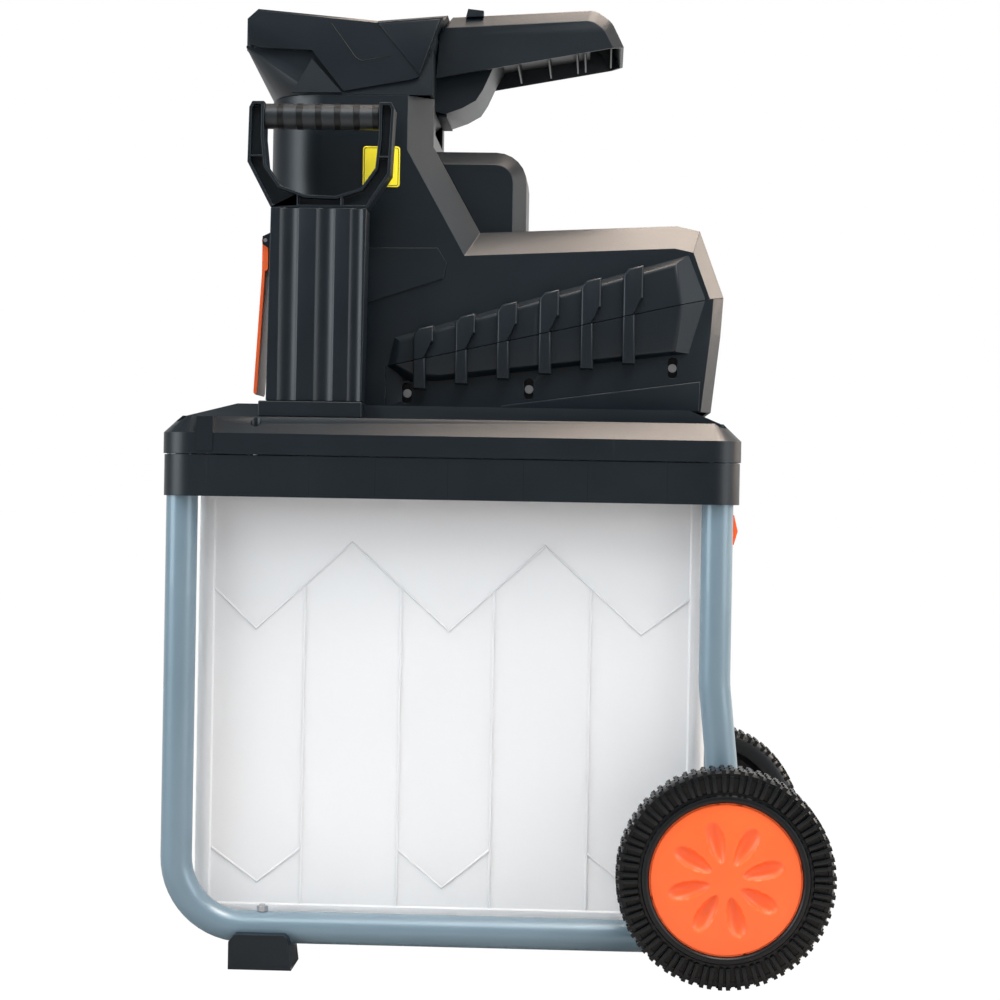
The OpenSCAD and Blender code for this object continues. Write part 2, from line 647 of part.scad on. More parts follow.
// Collection box
module collection_box() {
    pz = (box_z0 + box_z1) / 2 + 50;
    in_hw = box_hw - 2.5 - box_wall;
    lug_z = lock_z - 23;
    color(clear_white) difference() {
        union() {
            difference() {
                slab(box_x0, box_x1, -box_hw, box_hw, box_r, box_z0, box_z1);
                difference() {
                    slab(box_x0 + box_wall, box_x1 - box_wall, -in_hw, in_hw, box_r - 4, box_z0 + box_wall,
                        box_z1 + 1);
                    box3(box_x0, box_x0 + pocket_in + box_wall, -68, 68, pz - 37, pz + 37);
                }
                both_sides() box3(box_x0 + 17, box_x1 - 17, box_hw - 2.5, box_hw + 5, box_z0 + 8, box_z1 + 1);
            }
            box3(box_x1 - 1, guide_x0 + 5, -20, 20, lug_z, lug_z + 12);
        }
        box3(box_x0 - 5, box_x0 + pocket_in, -65, 65, pz - 34, pz + 34);
        box3(guide_x0 - gap - 8, guide_x0 + gap, -11, 11, lug_z - 1, lug_z + 13);
    }
}
module box_handle() {
    pz = (box_z0 + box_z1) / 2 + 50;
    color(black) {
        cyl_y(17, box_x0 + 10, pz + 12, -65 + fit, 65 - fit);
        both_sides() cyl_y(22, box_x0 + 10, pz + 12, 61, 65 - fit);
    }
}

// Housings
// Cutter that rounds the two front corners of the column
module corner_cut(r, z0, z1) {
    xc = col_x + col_r - 0.6;
    yc = house_hw - col_r + 0.6;
    both_sides() translate([0, 0, z0]) linear_extrude(z1 - z0) difference() {
        translate([col_x - 20, yc]) square([xc - col_x + 20, col_r + 20]);
        translate([xc, yc]) circle(r);
    }
}
// Half of the belt on one side of the seam, with its ribs. The belt stops short
// of the seam by seam_in, and the ribs by twice that.
module belt_half(up) {
    seam_in = 0.4;
    s = up ? 1 : -1;
    base = up ? 0 : -seam_gap;
    function edge(x, h) = [x, seam_at(x) + base + s * h];
    function band(x) = up ? belt_up(x) : belt_dn(x);
    pts = [edge(belt_x0, seam_in), edge(belt_x1, seam_in), edge(belt_x1, band(belt_x1)), edge(belt_x0 + 10,
        band(belt_x0))];
    both_sides() {
        xz_prism(pts, house_hw - wall / 2, house_hw + belt_out);
        for (x = rib_x) xz_prism(up
            ? [edge(x, 2 * seam_in), edge(x + 9, 2 * seam_in), [x + 9, seam_at(x) + belt_up(x) * 0.45],
                [x + 17, seam_at(x) + belt_up(x) * 0.5], [x + 17, seam_at(x) + belt_up(x) + 6], [x,
                    seam_at(x) + belt_up(x) + 6]]
            : [edge(x, 2 * seam_in), [x, seam_at(x) - belt_dn(x) - 5],
                [x + 9, seam_at(x) - belt_dn(x) - 5], edge(x + 9, 2 * seam_in)],
            house_hw - wall / 2 + 0.4, house_hw + belt_out + rib_out);
    }
}
upper_bevel = [0, 0, 0, 15, face_bevel, face_bevel, face_bevel, face_bevel, 0, 0];
lower_bevel = [0, 11, 11, 0, 0];
upper_tri = [[0, 1, 2], [0, 2, 9], [2, 7, 9], [7, 8, 9], [2, 6, 7], [2, 3, 6], [3, 5, 6], [3, 4, 5]];
module housing_upper() {
    w = wall;
    skin = [-6, -6, -6, w, w, w, w, w, -6, w];
    inner = inset(upper_pts, skin);
    color(black) difference() {
        union() {
            difference() {
                bevel_prism(upper_pts, upper_bevel, house_hw, 24, upper_tri);
                corner_cut(col_r, house_z - 5, col_top + 5);
            }
            belt_half(true);
        }
        difference() {
            bevel_prism(inner, upper_bevel, house_hw - w, 24, upper_tri);
            corner_cut(col_r - w, house_z - 15, col_top + 15);
        }
        // Way through for the hopper floor, the buttons and the adjusting screw
        box3(col_rear - face_bevel - 2, col_rear + 2, -throat_hw - 8, throat_hw + 8, col_top - 33,
            col_top + 1);
        cyl_x(start_d + 1.2, 0, start_z, col_x - 1, col_x + w + 1);
        cyl_x(stop_d + 1.2, 0, stop_z, col_x - 1, col_x + w + 1);
        cyl_y(screw_d + 2 * gap, knob_x, roller_z, house_hw - w - 1, house_hw + 1);
    }
}
pod_screws = [[seam_x + 22, deck_top + 14.5], [seam_x + 145, deck_top + 20.5], [seam_x + 289, deck_top + 44]];
// Upright slot with round ends, d wide and 11 taller, its sides a little narrower than its ends
module slot_y(d, p, y0, y1) {
    for (dz = [-5.5, 5.5]) cyl_y(d, p[0], p[1] + dz, y0, y1);
    box3(p[0] - d / 2 + 0.3, p[0] + d / 2 - 0.3, y0, y1, p[1] - 5.5, p[1] + 5.5);
}

module housing_lower() {
    w = wall;
    inner = inset(lower_pts, [-6, w, w, -6, -6]);
    color(black) difference() {
        union() {
            difference() {
                bevel_prism(lower_pts, lower_bevel, house_hw, 24);
                bevel_prism(inner, lower_bevel, house_hw - w, 24);
            }
            belt_half(false);
            both_sides() for (p = pod_screws) slot_y(16, p, house_hw - 16, house_hw - 1);
        }
        both_sides() for (p = pod_screws) {
            slot_y(10, p, house_hw - 10, house_hw + 1);
            cyl_y(4.5 + 2 * fit, p[0], p[1], house_hw - 18, house_hw);
        }
        // Air opening behind the fan
        xz_prism([[base_rear[0] - 20, deck_top + 12], [motor_rear + 20, deck_top + 12],
            [motor_rear + 20, deck_top + 70], [base_rear[0] - 20, deck_top + 70]], -70, 70);
    }
}
module rear_grille() {
    k = (step_pt[0] - base_rear[0]) / (step_pt[1] - base_rear[1]);
    function bx(z) = base_rear[0] + (z - base_rear[1]) * k - 0.5;
    function strip(z0, z1) = [[bx(z0) - 3, z0], [bx(z0), z0], [bx(z1), z1], [bx(z1) - 3, z1]];
    z0 = deck_top + 12 + fit;
    z1 = deck_top + 70 - fit;
    hw = 70 - fit;
    color(black) {
        xz_prism(strip(z0, z0 + 5), -hw, hw);
        xz_prism(strip(z1 - 5, z1), -hw, hw);
        both_sides() xz_prism(strip(z0 + 5 - eps, z1 - 5 + eps), hw - 4, hw);
        for (i = [-6 : 6]) xz_prism(strip(z0 + 5 - eps, z1 - 5 + eps), i * 10 - 1.5, i * 10 + 1.5);
    }
}
module housing_screws() {
    color(steel) both_sides() for (p = pod_screws) {
        cyl_y(8.5, p[0], p[1], house_hw - 10 + fit, house_hw - 6);
        cyl_y(4.5, p[0], p[1], house_hw - 16, house_hw - 9);
    }
}

// Control box behind the column
ctl_x0 = col_rear + fit;
ctl_x1 = elbow[0] + 45.5;
slope_k = (shoulder_z - elbow[1]) / (elbow[0] - col_rear);
box_top_z = shoulder_z + fit * (1.05 * sqrt(1 + slope_k * slope_k) - slope_k);
ctl_low = [[ctl_x0, box_top_z], [elbow[0] + 0.1, elbow[1] + fit * 1.6],
    [ctl_x1, elbow[1] + fit * 1.6 + (ctl_x1 - elbow[0]) * (crest[1] - elbow[1]) / (crest[0] - elbow[0])]];
ctl_pts = concat(ctl_low, [for (a = [0 : 15 : 90]) [ctl_x1 - 32 + 32 * cos(a),
    box_top_z - 32 + 32 * sin(a)]]);
ctl_n = len(ctl_pts);
ctl_hw = 55;
sel_pos = [ctl_x0 + 36, box_top_z - 28];
reset_pos = [ctl_x0 + 64, box_top_z - 33];
inlet_pos = [ctl_x0 + 63, box_top_z - 61];
module control_box() {
    bev = [for (i = [0 : ctl_n - 1]) i < 2 ? 0 : 14];
    skin = [for (i = [0 : ctl_n - 1]) i < 2 ? -5 : 3];
    inner = inset(ctl_pts, skin);
    color(black) difference() {
        bevel_prism(ctl_pts, bev, ctl_hw, 12);
        bevel_prism(inner, bev, ctl_hw - 3, 12);
        cyl_y(8 + 2 * gap, sel_pos[0], sel_pos[1], ctl_hw - 5, ctl_hw + 1);
        cyl_y(11 + 2 * gap, reset_pos[0], reset_pos[1], ctl_hw - 5, ctl_hw + 1);
        box3(inlet_pos[0] - 13, inlet_pos[0] + 13, ctl_hw - 5, ctl_hw + 1, inlet_pos[1] - 10,
            inlet_pos[1] + 10);
    }
}
module power_inlet() {
    x = inlet_pos[0];
    z = inlet_pos[1];
    color(black) {
        difference() {
            union() {
                box3(x - 16, x + 16, ctl_hw + fit, ctl_hw + 4, z - 13, z + 13);
                box3(x - 13 + fit, x + 13 - fit, ctl_hw - 12, ctl_hw + 1, z - 10 + fit, z + 10 - fit);
                box3(x - 14, x + 14, ctl_hw + 3, ctl_hw + 22, z - 11, z + 11);
            }
            box3(x - 11, x + 11, ctl_hw + 2, ctl_hw + 23, z - 8, z + 8);
        }
        for (p = [[-6, -3], [6, -3], [0, 3.5]]) cyl_y(3, x + p[0], z + p[1], ctl_hw + 1, ctl_hw + 18);
    }
}
module direction_selector() {
    color(black) {
        cyl_y(8, sel_pos[0], sel_pos[1], ctl_hw - 8, ctl_hw + 3);
        cyl_y(22, sel_pos[0], sel_pos[1], ctl_hw + gap, ctl_hw + 6);
        box3(sel_pos[0] - 3, sel_pos[0] + 3, ctl_hw + 5, ctl_hw + 15, sel_pos[1] - 11, sel_pos[1] + 11);
    }
}
module reset_button() {
    color(orange) {
        cyl_y(11, reset_pos[0], reset_pos[1], ctl_hw - 7, ctl_hw + 5);
        cyl_y(15, reset_pos[0], reset_pos[1], ctl_hw - 9, ctl_hw - 3 - gap);
    }
}
module capacitor() {
    color(alloy) cyl_y(40, elbow[0] + 20, elbow[1] + 21.5, -36, 36);
}

// Controls on the column front
module switch_panel() {
    hw = flap_hw + 3.8;
    color(black) difference() {
        union() {
            box3(panel_x, col_x - fit, -hw, hw, deck_top + 22, hinge[1] + 8);
            both_sides() xz_prism([[col_x - 1, hinge[1] - 9], [col_x - 1, hinge[1] + 8], [panel_x,
                hinge[1] + 8],
                [hinge[0] - 3, hinge[1] + 4], [hinge[0] - 3, hinge[1] - 4], [panel_x, hinge[1] - 9]],
                flap_hw + gap, hw);
        }
        cyl_x(start_d + 2 * gap, 0, start_z, panel_x - 1, col_x + 1);
        cyl_x(stop_d + 2 * gap, 0, stop_z, panel_x - 1, col_x + 1);
        cyl_y(4.1, hinge[0], hinge[1], -hw - 1, hw + 1);
    }
}
module start_button() {
    color([0.12, 0.55, 0.22]) {
        cyl_x(start_d, 0, start_z, panel_x - 2.8, col_x + 6);
        cyl_x(start_d + 5, 0, start_z, col_x + wall + gap, col_x + wall + 5);
    }
}
module stop_button() {
    color([0.8, 0.1, 0.08]) {
        cyl_x(stop_d, 0, stop_z, panel_x - 4, col_x + 6);
        cyl_x(stop_d + 5, 0, stop_z, col_x + wall + gap, col_x + wall + 5);
    }
}
module stop_flap() {
    h = hinge;
    z1 = deck_top + 140;
    z0 = deck_top + 12;
    color(orange) difference() {
        union() {
            cyl_y(8.4, h[0], h[1], -flap_hw, flap_hw);
            xz_prism([[h[0] - 3.7, h[1]], [h[0] - 3.7, z1], [h[0] - 10.5, z0 + 6], [h[0] - 10.3, z0 + 3],
                [h[0] - 7.5, z0 + 1],
                [h[0] - 6.4, z0 + 4], [h[0], z1 + 2], [h[0] + 3, z1 + 4], [h[0] + 3, h[1]]], -flap_hw,
                    flap_hw);
        }
        cyl_y(4 + 2 * run, h[0], h[1], -flap_hw - 1, flap_hw + 1);
    }
}
module flap_pin()
    color(steel) cyl_y(4, hinge[0], hinge[1], -flap_hw - 3.8, flap_hw + 3.8);

// Blank plates on the near side of the column
module side_sticker()
    color(yellow) box3(cx + 95.5, cx + 133, -house_hw - 0.8, -house_hw - 0.05, deck_top + 222,
        deck_top + 263);
module side_badge()
    color(black) xz_prism([[cx + 96, deck_top + 103], [cx + 179, deck_top + 130.5], [cx + 182,
        deck_top + 146.5],
        [cx + 172.5, deck_top + 161.5], [cx + 96, deck_top + 160.5]], -house_hw - 1.6, -house_hw - 0.05);

// Hopper
body_pts = [[hop_x0, hop_z1 - 0.5], [col_rear, hop_z1 - 0.5], [col_rear + 3, hop_z1 + 20], rim[3], rim[2],
    rim[1], rim[0]];
panel_pts = [[hop_x0 + 4, hop_z1 + 4], [hop_x0 + 16, hop_z1], [cx + 42, hop_z1 - 2], [cx + 75, hop_z0 + 3],
    [cx + 144, hop_z0 + 15.5], [cx + 150, hop_z0 + 18], [cx + 174, hop_z1 + 32], [cx + 107, hop_z1 + 26],
    [hop_x0 + 13, hop_z1 + 37], [hop_x0 + 4, hop_z1 + 29]];
function front_arc(t) = [for (a = [180 : 15 : 270])
    [col_x + col_r + (col_r - t) * cos(a), col_r - house_hw + (col_r - t) * sin(a)]];
module flare(t) hull() {
    translate([0, 0, hop_z0 - (t > 0 ? 1 : 0)]) linear_extrude(0.1) polygon(concat(
        [[col_rear - t - 0.4, house_hw - t]], [for (p = front_arc(t)) [p[0], -p[1]]],
        [for (i = [6 : -1 : 0]) front_arc(t)[6 - i]], [[col_rear - t - 0.4, t - house_hw]]));
    box3(hop_x0 + t + 0.4, col_rear - t - 0.4, t - hopper_hw + 0.4, hopper_hw - t - 0.4, hop_z1 + 1,
        hop_z1 + 3);
}
module hopper_shell() {
    w = hop_wall;
    color(black) difference() {
        union() {
            flare(0);
            bevel_prism(body_pts, [0, 0, 0, 9, 9, 9, 9], hopper_hw, 8);
            both_sides() xz_prism(panel_pts, hopper_hw - 8, house_hw + 2);
        }
        flare(w);
        bevel_prism(inset(body_pts, [-1, w, w, w, w, w, w]), [0, 0, 0, 9, 9, 9, 9], hopper_hw - w, 8);
        // Feed mouth
        box3(hop_x0 + 20, cx + 172, 14 - hopper_hw, hopper_hw - 14, hop_z1 + 15, hop_z1 + 60);
        box3(col_rear - 6, col_rear + 30, -throat_hw - 8, throat_hw + 8, hop_z0 - 1, hop_z1 + 60);
    }
}
module hopper_lip() {
    w = hop_wall;
    color(black) difference() {
        bevel_prism(lip_pts, lip_bevel, lip_hw, 9);
        bevel_prism(inset(lip_pts, [-12, w, w, w, -12, -12]), lip_bevel, lip_hw - w, 9);
        box3(cx + 160, cx + 320, 12 - lip_hw, lip_hw - 12, hop_z1 + 15, hop_z1 + 60);
    }
}
chin = [[cx + 163.5, hop_z0 - 9], [cx + 174, hop_z0 - 11.5], [cx + 192, hop_z0 - 5], [cx + 206, hop_z0 + 3],
    [cx + 213, hop_z0 + 14], [cx + 223, hop_z1 - 10], [cx + 231, hop_z1 + 4], [cx + 322, hop_z1 + 19]];
module funnel_mouth(t) hull() {
    box3(hop_x0 + 17 + t, cx + 174 - t, 11 - hopper_hw + t, hopper_hw - 11 - t, hop_z1 + 46, hop_z1 + 50 + t);
    box3(throat_x0 - w_f + t, throat_x1 + w_f - t, t - throat_hw - w_f, throat_hw + w_f - t, hop_z0 - 53,
        hop_z0 - 52);
}
w_f = 2.5;
module hopper_funnel() {
    top_pts = [for (p = [rim[0], rim[1], rim[2], rim[3], lip_pts[4], lip_pts[3]]) [p[0],
        p[1] - hop_wall - gap]];
    outer = concat([[throat_x1 - 8, hop_z0 - 53]], chin, [[cx + 322, hop_z1 + 60], [throat_x1 - 8,
        hop_z1 + 60]]);
    inner = inset(outer, [for (i = [0 : len(outer) - 1]) i > len(outer) - 3 ? -10 : w_f]);
    color(black) difference() {
        intersection() {
            union() {
                funnel_mouth(0);
                xz_prism(outer, -throat_hw - 7, throat_hw + 7);
                box3(throat_x0 - w_f, throat_x1 + w_f, -throat_hw - w_f, throat_hw + w_f, throat_z0,
                    hop_z0 - 52);
            }
            xz_prism(concat([[hop_x0, throat_z0 - 5], [cx + 360, throat_z0 - 5], [cx + 360,
                lip_pts[3][1] - hop_wall - gap]],
                [for (i = [5 : -1 : 0]) top_pts[i]]), -house_hw, house_hw);
        }
        funnel_mouth(w_f);
        xz_prism(inner, -throat_hw - 7 + w_f, throat_hw + 7 - w_f);
        box3(throat_x0, throat_x1, -throat_hw, throat_hw, throat_z0 - 1, hop_z0 - 50);
    }
}

// Plunger standing over a post on the deck
module plunger_blade() {
    x0 = blade_x - blade_w / 2;
    x1 = blade_x + blade_w / 2;
    y0 = plunger_y - blade_t / 2;
    color(black) difference() {
        xz_prism([[x0, blade_z0], [x1, blade_z0], [x1 + blade_tilt, blade_z1], [x0 + blade_tilt,
            blade_z1]], y0, y0 + blade_t);
        // Round grooves down both faces
        for (i = [0 : 2]) let (reach = groove_d[i] / 2 - groove_in[i]) for (y = [y0 - reach,
            y0 + blade_t + reach])
            cyl_z(groove_d[i], x0 + groove_at[i] * blade_w + blade_tilt / 2, y, blade_z0 - 1, blade_z1 + 1);
        box3(blade_x - 24 - gap, blade_x + 24 + gap, plunger_y - 9 - gap, plunger_y + 9 + gap,
            blade_z0 - 1, blade_z0 + 55);
    }
}
module plunger_holder() {
    x0 = blade_x - blade_w / 2 - 6.5;
    x1 = blade_x + blade_w / 2 + 1;
    y0 = plunger_y - blade_t / 2 - 6;
    color(black) {
        box3(x0, x1, y0, plunger_y + blade_t / 2 + 4, deck_top + fit, blade_z0 - gap);
        box3(x0, x1, y0, -plateau_w / 2 - fit, deck_z2 + fit, blade_z0 - gap);
        box3(blade_x - 24, blade_x + 24, plunger_y - 9, plunger_y + 9, deck_top + 1, blade_z0 + 50);
    }
}
// Handle: a loop with flanges along its edges and a thinner web between them
module plunger_handle() {
    hw = handle_w / 2;
    z = handle_z0;
    h = handle_h;
    x = handle_x;
    b = blade_x + blade_tilt;
    outer = [[b - 48, z], [b + 48, z], [x + hw - 3, z + 34], [x + hw, z + h - 6], [x + hw - 3, z + h],
        [x - hw + 3, z + h], [x - hw, z + h - 6], [x - hw - 1, z + 45]];
    loop = [[x - 15, z + 13], [x + 15, z + 12], [x + 40, z + 20], [x + hw - 18, z + 40], [x + hw - 15,
        z + 70], [x + hw - 15, z + h + 1],
        [x - hw + 15, z + h + 1], [x - hw + 15, z + 70], [x - hw + 18, z + 42], [x - 40, z + 22]];
    rim = inset(outer, [for (p = outer) flange]);
    edge = inset(loop, [for (p = loop) -flange]);
    color(black) {
        difference() {
            xz_prism(outer, plunger_y - 15, plunger_y + 15);
            xz_prism(loop, plunger_y - 16, plunger_y + 16);
            for (y = [[-16, -web_t / 2], [web_t / 2, 16]]) difference() {
                xz_prism(rim, plunger_y + y[0], plunger_y + y[1]);
                xz_prism(edge, plunger_y - 20, plunger_y + 20);
                // Cross ribs left standing
                for (rx = [b - 22, b + 22]) box3(rx - 1, rx + 1, plunger_y - 20, plunger_y + 20, z - 1,
                    z + 30);
                for (rx = [x - hw - 10, x + hw - 20]) box3(rx, rx + 30, plunger_y - 20, plunger_y + 20,
                    z + 50, z + 52);
            }
        }
        cyl_x(14, plunger_y, grip_z, x - hw + 14, x + hw - 14);
    }
}
module plunger_grip() {
    x0 = handle_x - handle_w / 2 + 15 + fit;
    len = handle_w - 30 - 2 * fit;
    n = 7;
    p = len / n;
    color([0.12, 0.13, 0.14]) translate([x0, plunger_y, grip_z]) rotate([0, 90, 0]) difference() {
        union() {
            cylinder(d = grip_d - 4, h = len);
            for (i = [0 : n - 1]) translate([0, 0, i * p + (i == 0 ? 0 : 1.5)])
                cylinder(d = grip_d, h = p - (i == 0 || i == n - 1 ? 1.5 : 3));
        }
        translate([0, 0, -1]) cylinder(d = 14.1, h = len + 2);
    }
}

// Cutting unit
module cutter_plate() {
    color(alloy) difference() {
        yz_prism([[-58, house_z], [58, house_z], [58, roller_z + 20], [40, throat_z0 - gap], [-40,
            throat_z0 - gap], [-58, roller_z + 20]],
            plate1_x0, plate1_x1);
        cyl_x(bear_od + 0.1, 0, roller_z, plate1_x0 + 2, plate1_x1 + 1);
    }
}
module gearbox_plate() {
    y1 = cluster_y + gear_tip + 4;
    color(alloy) difference() {
        yz_prism([[-58, house_z], [y1, house_z], [y1, cluster_z + 30], [70, throat_z0 - gap], [-40,
            throat_z0 - gap], [-58, roller_z + 20]],
            plate2_x0, plate2_x1);
        cyl_x(bear_od + 0.1, 0, roller_z, plate2_x0 + 2, plate2_x1 + 1);
        cyl_x(shaft_d + 4, 0, roller_z, plate2_x0 - 1, plate2_x0 + 3);
        cyl_x(cluster_d + 0.1, cluster_y, cluster_z, plate2_x0 + 2, plate2_x1 + 1);
    }
}
module ring_x(od, id, y, z, x0, x1) difference() {
    cyl_x(od, y, z, x0, x1);
    cyl_x(id, y, z, x0 - 1, x1 + 1);
}
module bearings() {
    color(steel) {
        ring_x(bear_od, shaft_d + 2 * run, 0, roller_z, plate1_x0 + 2 + fit, plate1_x1);
        ring_x(bear_od, shaft_d + 2 * run, 0, roller_z, plate2_x0 + 2 + fit, plate2_x1);
        ring_x(motor_bear_od, motor_sh_d + 2 * run, 0, motor_z, shield_x0 + 2 + fit, shield_x1);
        ring_x(motor_bear_od, motor_sh_d + 2 * run, 0, motor_z, rear_sh_x0, rear_sh_x1 - 2 - fit);
    }
}
module cutter_roller() {
    r = roller_d / 2;
    n = roller_teeth;
    color(steel) difference() {
        yz_prism([for (k = [0 : n - 1]) let (c = k * 360 / n) each
            [[r * sin(c), roller_z + r * cos(c)], [r * sin(c + 6), roller_z + r * cos(c + 6)],
             [(r - 7) * sin(c + 200 / n), roller_z + (r - 7) * cos(c + 200 / n)],
             [(r - 14) * sin(c + 358 / n), roller_z + (r - 14) * cos(c + 358 / n)]]],
            roller_x0, roller_x1);
        cyl_x(shaft_d + 0.1, 0, roller_z, roller_x0 - 1, roller_x1 + 1);
    }
}
module roller_shaft()
    color(steel) cyl_x(shaft_d, 0, roller_z, plate1_x0 + 2 + gap, out_x1 + 1);
// The three gear pairs mesh on these directions, seen along the axes
dir_a = atan2(cluster_z - motor_z, cluster_y);
dir_c = atan2(cluster_z - roller_z, cluster_y);
module roller_gear() {
    color(steel) difference() {
        gear_x(gear_teeth, 2, dir_c + 180 / gear_teeth, 0, roller_z, out_x0, out_x1);
        cyl_x(shaft_d + 0.1, 0, roller_z, out_x0 - 1, out_x1 + 1);
    }
}
module cluster_gear() {
    color(steel) difference() {
        union() {
            gear_x(pinion_teeth, 3, dir_c + 180, cluster_y, cluster_z, out_x0 - 2, in_x0 + 1);
            gear_x(gear_teeth, 2, dir_a + 180 + 180 / gear_teeth, cluster_y, cluster_z, in_x0, in_x1);
        }
        cyl_x(cluster_d - 2 + 2 * run, cluster_y, cluster_z, out_x0 - 5, in_x1 + 2);
    }
}
module cluster_shaft() {
    color(steel) {
        cyl_x(cluster_d - 2, cluster_y, cluster_z, plate2_x1 - 1, shield_x0 + 1);
        cyl_x(cluster_d, cluster_y, cluster_z, plate2_x0 + 2 + fit, plate2_x1 + 1.6);
        cyl_x(cluster_d, cluster_y, cluster_z, in_x1 + 1, shield_x1 - 2 - fit);
    }
}
module gear_room(t) {
    for (p = [[0, roller_z, gear_tip], [cluster_y, cluster_z, gear_tip], [0, motor_z, 24]])
        translate([p[0], p[1]]) circle(r = p[2] + 1.2 + t);
    polygon([[0, roller_z - gear_tip - 1.2 - t], [cluster_y, cluster_z - gear_tip - 1.2 - t],
        [cluster_y, cluster_z + gear_tip + 1.2 + t], [0, motor_z + 25.2 + t]]);
}
module gearbox_case() {
    color(alloy) translate([plate2_x1 + fit, 0, 0]) rotate([90, 0, 90]) difference() {
        linear_extrude(shield_x0 - plate2_x1 - 2 * fit) gear_room(2.6);
        translate([0, 0, -1]) linear_extrude(100) gear_room(0);
    }
}

// Motor
module motor_front_shield() {
    d = stator_d + 4;
    color(alloy) difference() {
        union() {
            cyl_x(d, 0, motor_z, shield_x0, shield_x1);
            ring_x(d, stator_d - 6, 0, motor_z, shield_x1 - eps, stator_x0 - fit);
        }
        cyl_x(motor_bear_od + 0.1, 0, motor_z, shield_x0 + 2, shield_x1 + 1);
        cyl_x(motor_sh_d + 4, 0, motor_z, shield_x0 - 1, shield_x0 + 3);
        cyl_x(cluster_d + 0.1, cluster_y, cluster_z, shield_x0 - 1, shield_x1 - 2);
    }
}
module motor_rear_shield() {
    d = stator_d + 4;
    color(alloy) difference() {
        union() {
            cyl_x(d, 0, motor_z, rear_sh_x0, rear_sh_x1);
            ring_x(d, stator_d - 6, 0, motor_z, stator_x1 + fit, rear_sh_x0 + eps);
            box3(rear_sh_x0, rear_sh_x1, -45, 45, house_z, motor_z - 40);
        }
        cyl_x(motor_bear_od + 0.1, 0, motor_z, rear_sh_x0 - 1, rear_sh_x1 - 2);
        cyl_x(motor_sh_d + 4, 0, motor_z, rear_sh_x1 - 3, rear_sh_x1 + 1);
    }
}
module motor_stator()
    color([0.35, 0.36, 0.38]) ring_x(stator_d, rotor_d + 1.2, 0, motor_z, stator_x0, stator_x1);
module motor_rotor()
    color(steel) ring_x(rotor_d, motor_sh_d + 0.1, 0, motor_z, stator_x0 + 5, stator_x1 - 5);
module motor_shaft() {
    color(steel) {
        cyl_x(motor_sh_d, 0, motor_z, shield_x0 - 2, fan_x1 + 4);
        gear_x(pinion_teeth, 3, dir_a, 0, motor_z, in_x0 - 2, shield_x0 - 1);
    }
}
module motor_fan() {
    color(black) difference() {
        union() {
            cyl_x(34, 0, motor_z, fan_x0, fan_x1);
            cyl_x(118, 0, motor_z, fan_x0, fan_x0 + 3);
            for (k = [0 : 7]) translate([fan_x0 + 1, 0, motor_z]) rotate([45 * k, 0, 0])
                translate([0, -1.5, 14]) cube([16, 3, 44]);
        }
        cyl_x(motor_sh_d + 0.1, 0, motor_z, fan_x0 - 1, fan_x1 + 1);
    }
}

// Counter plate, moved towards the roller by the knob on the far side
cp_y0 = roller_d / 2 + cut_gap;
module counter_plate() {
    color(steel) difference() {
        union() {
            box3(plate1_x1 + gap, plate2_x0 - gap, cp_y0, cp_y0 + 8, roller_z - 32, roller_z + 38);
            cyl_y(26, knob_x, roller_z, cp_y0 + 7, cp_y0 + 28);
        }
        cyl_y(screw_d + 2 * run, knob_x, roller_z, cp_y0 + 9, cp_y0 + 29);
    }
}
module adjust_screw()
    color(steel) cyl_y(screw_d, knob_x, roller_z, cp_y0 + 12, house_hw + 16);
module adjust_knob() {
    color(black) difference() {
        union() {
            cyl_y(knob_d - 6, knob_x, roller_z, house_hw + gap, house_hw + 20);
            for (k = [0 : 5]) translate([knob_x, house_hw + gap, roller_z]) rotate([0, 60 * k, 0])
                translate([knob_d / 2 - 8, 0, 0]) rotate([-90, 0, 0]) cylinder(d = 16, h = 20 - gap);
        }
        cyl_y(screw_d + 0.1, knob_x, roller_z, house_hw - 1, house_hw + 17);
    }
}

frame_tube_near();
frame_tube_far();
cross_bars();
foot_near();
foot_far();
foot_screws();
axle();
axle_fittings();
wheel_near();
wheel_far();
hub_cap_near();
hub_cap_far();
base_skirt();
base_deck();
deck_screws();
lock_guide();
lock_slider();
collection_box();
box_handle();
housing_upper();
housing_lower();
rear_grille();
housing_screws();
control_box();
power_inlet();
direction_selector();
reset_button();
capacitor();
switch_panel();
start_button();
stop_button();
stop_flap();
flap_pin();
side_sticker();
side_badge();
hopper_shell();
hopper_lip();
hopper_funnel();
plunger_blade();
plunger_handle();
plunger_grip();
plunger_holder();
cutter_plate();
gearbox_plate();
bearings();
cutter_roller();
roller_shaft();
roller_gear();
cluster_gear();
cluster_shaft();
gearbox_case();
motor_front_shield();
motor_rear_shield();
motor_stator();
motor_rotor();
motor_shaft();
motor_fan();
counter_plate();
adjust_screw();
adjust_knob();
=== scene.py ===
# %% [markdown]
# # Garden shredder, dressed for its portrait
# The construction model gives every solid of the machine, true to size. This lesson
# loads those solids as a fixed frame, then gives them rounded moulded edges, ribs,
# treads and procedural finishes. Everything is in metres, +Z is up, and the near side
# of the machine, the one that faces the camera, looks towards -Y.

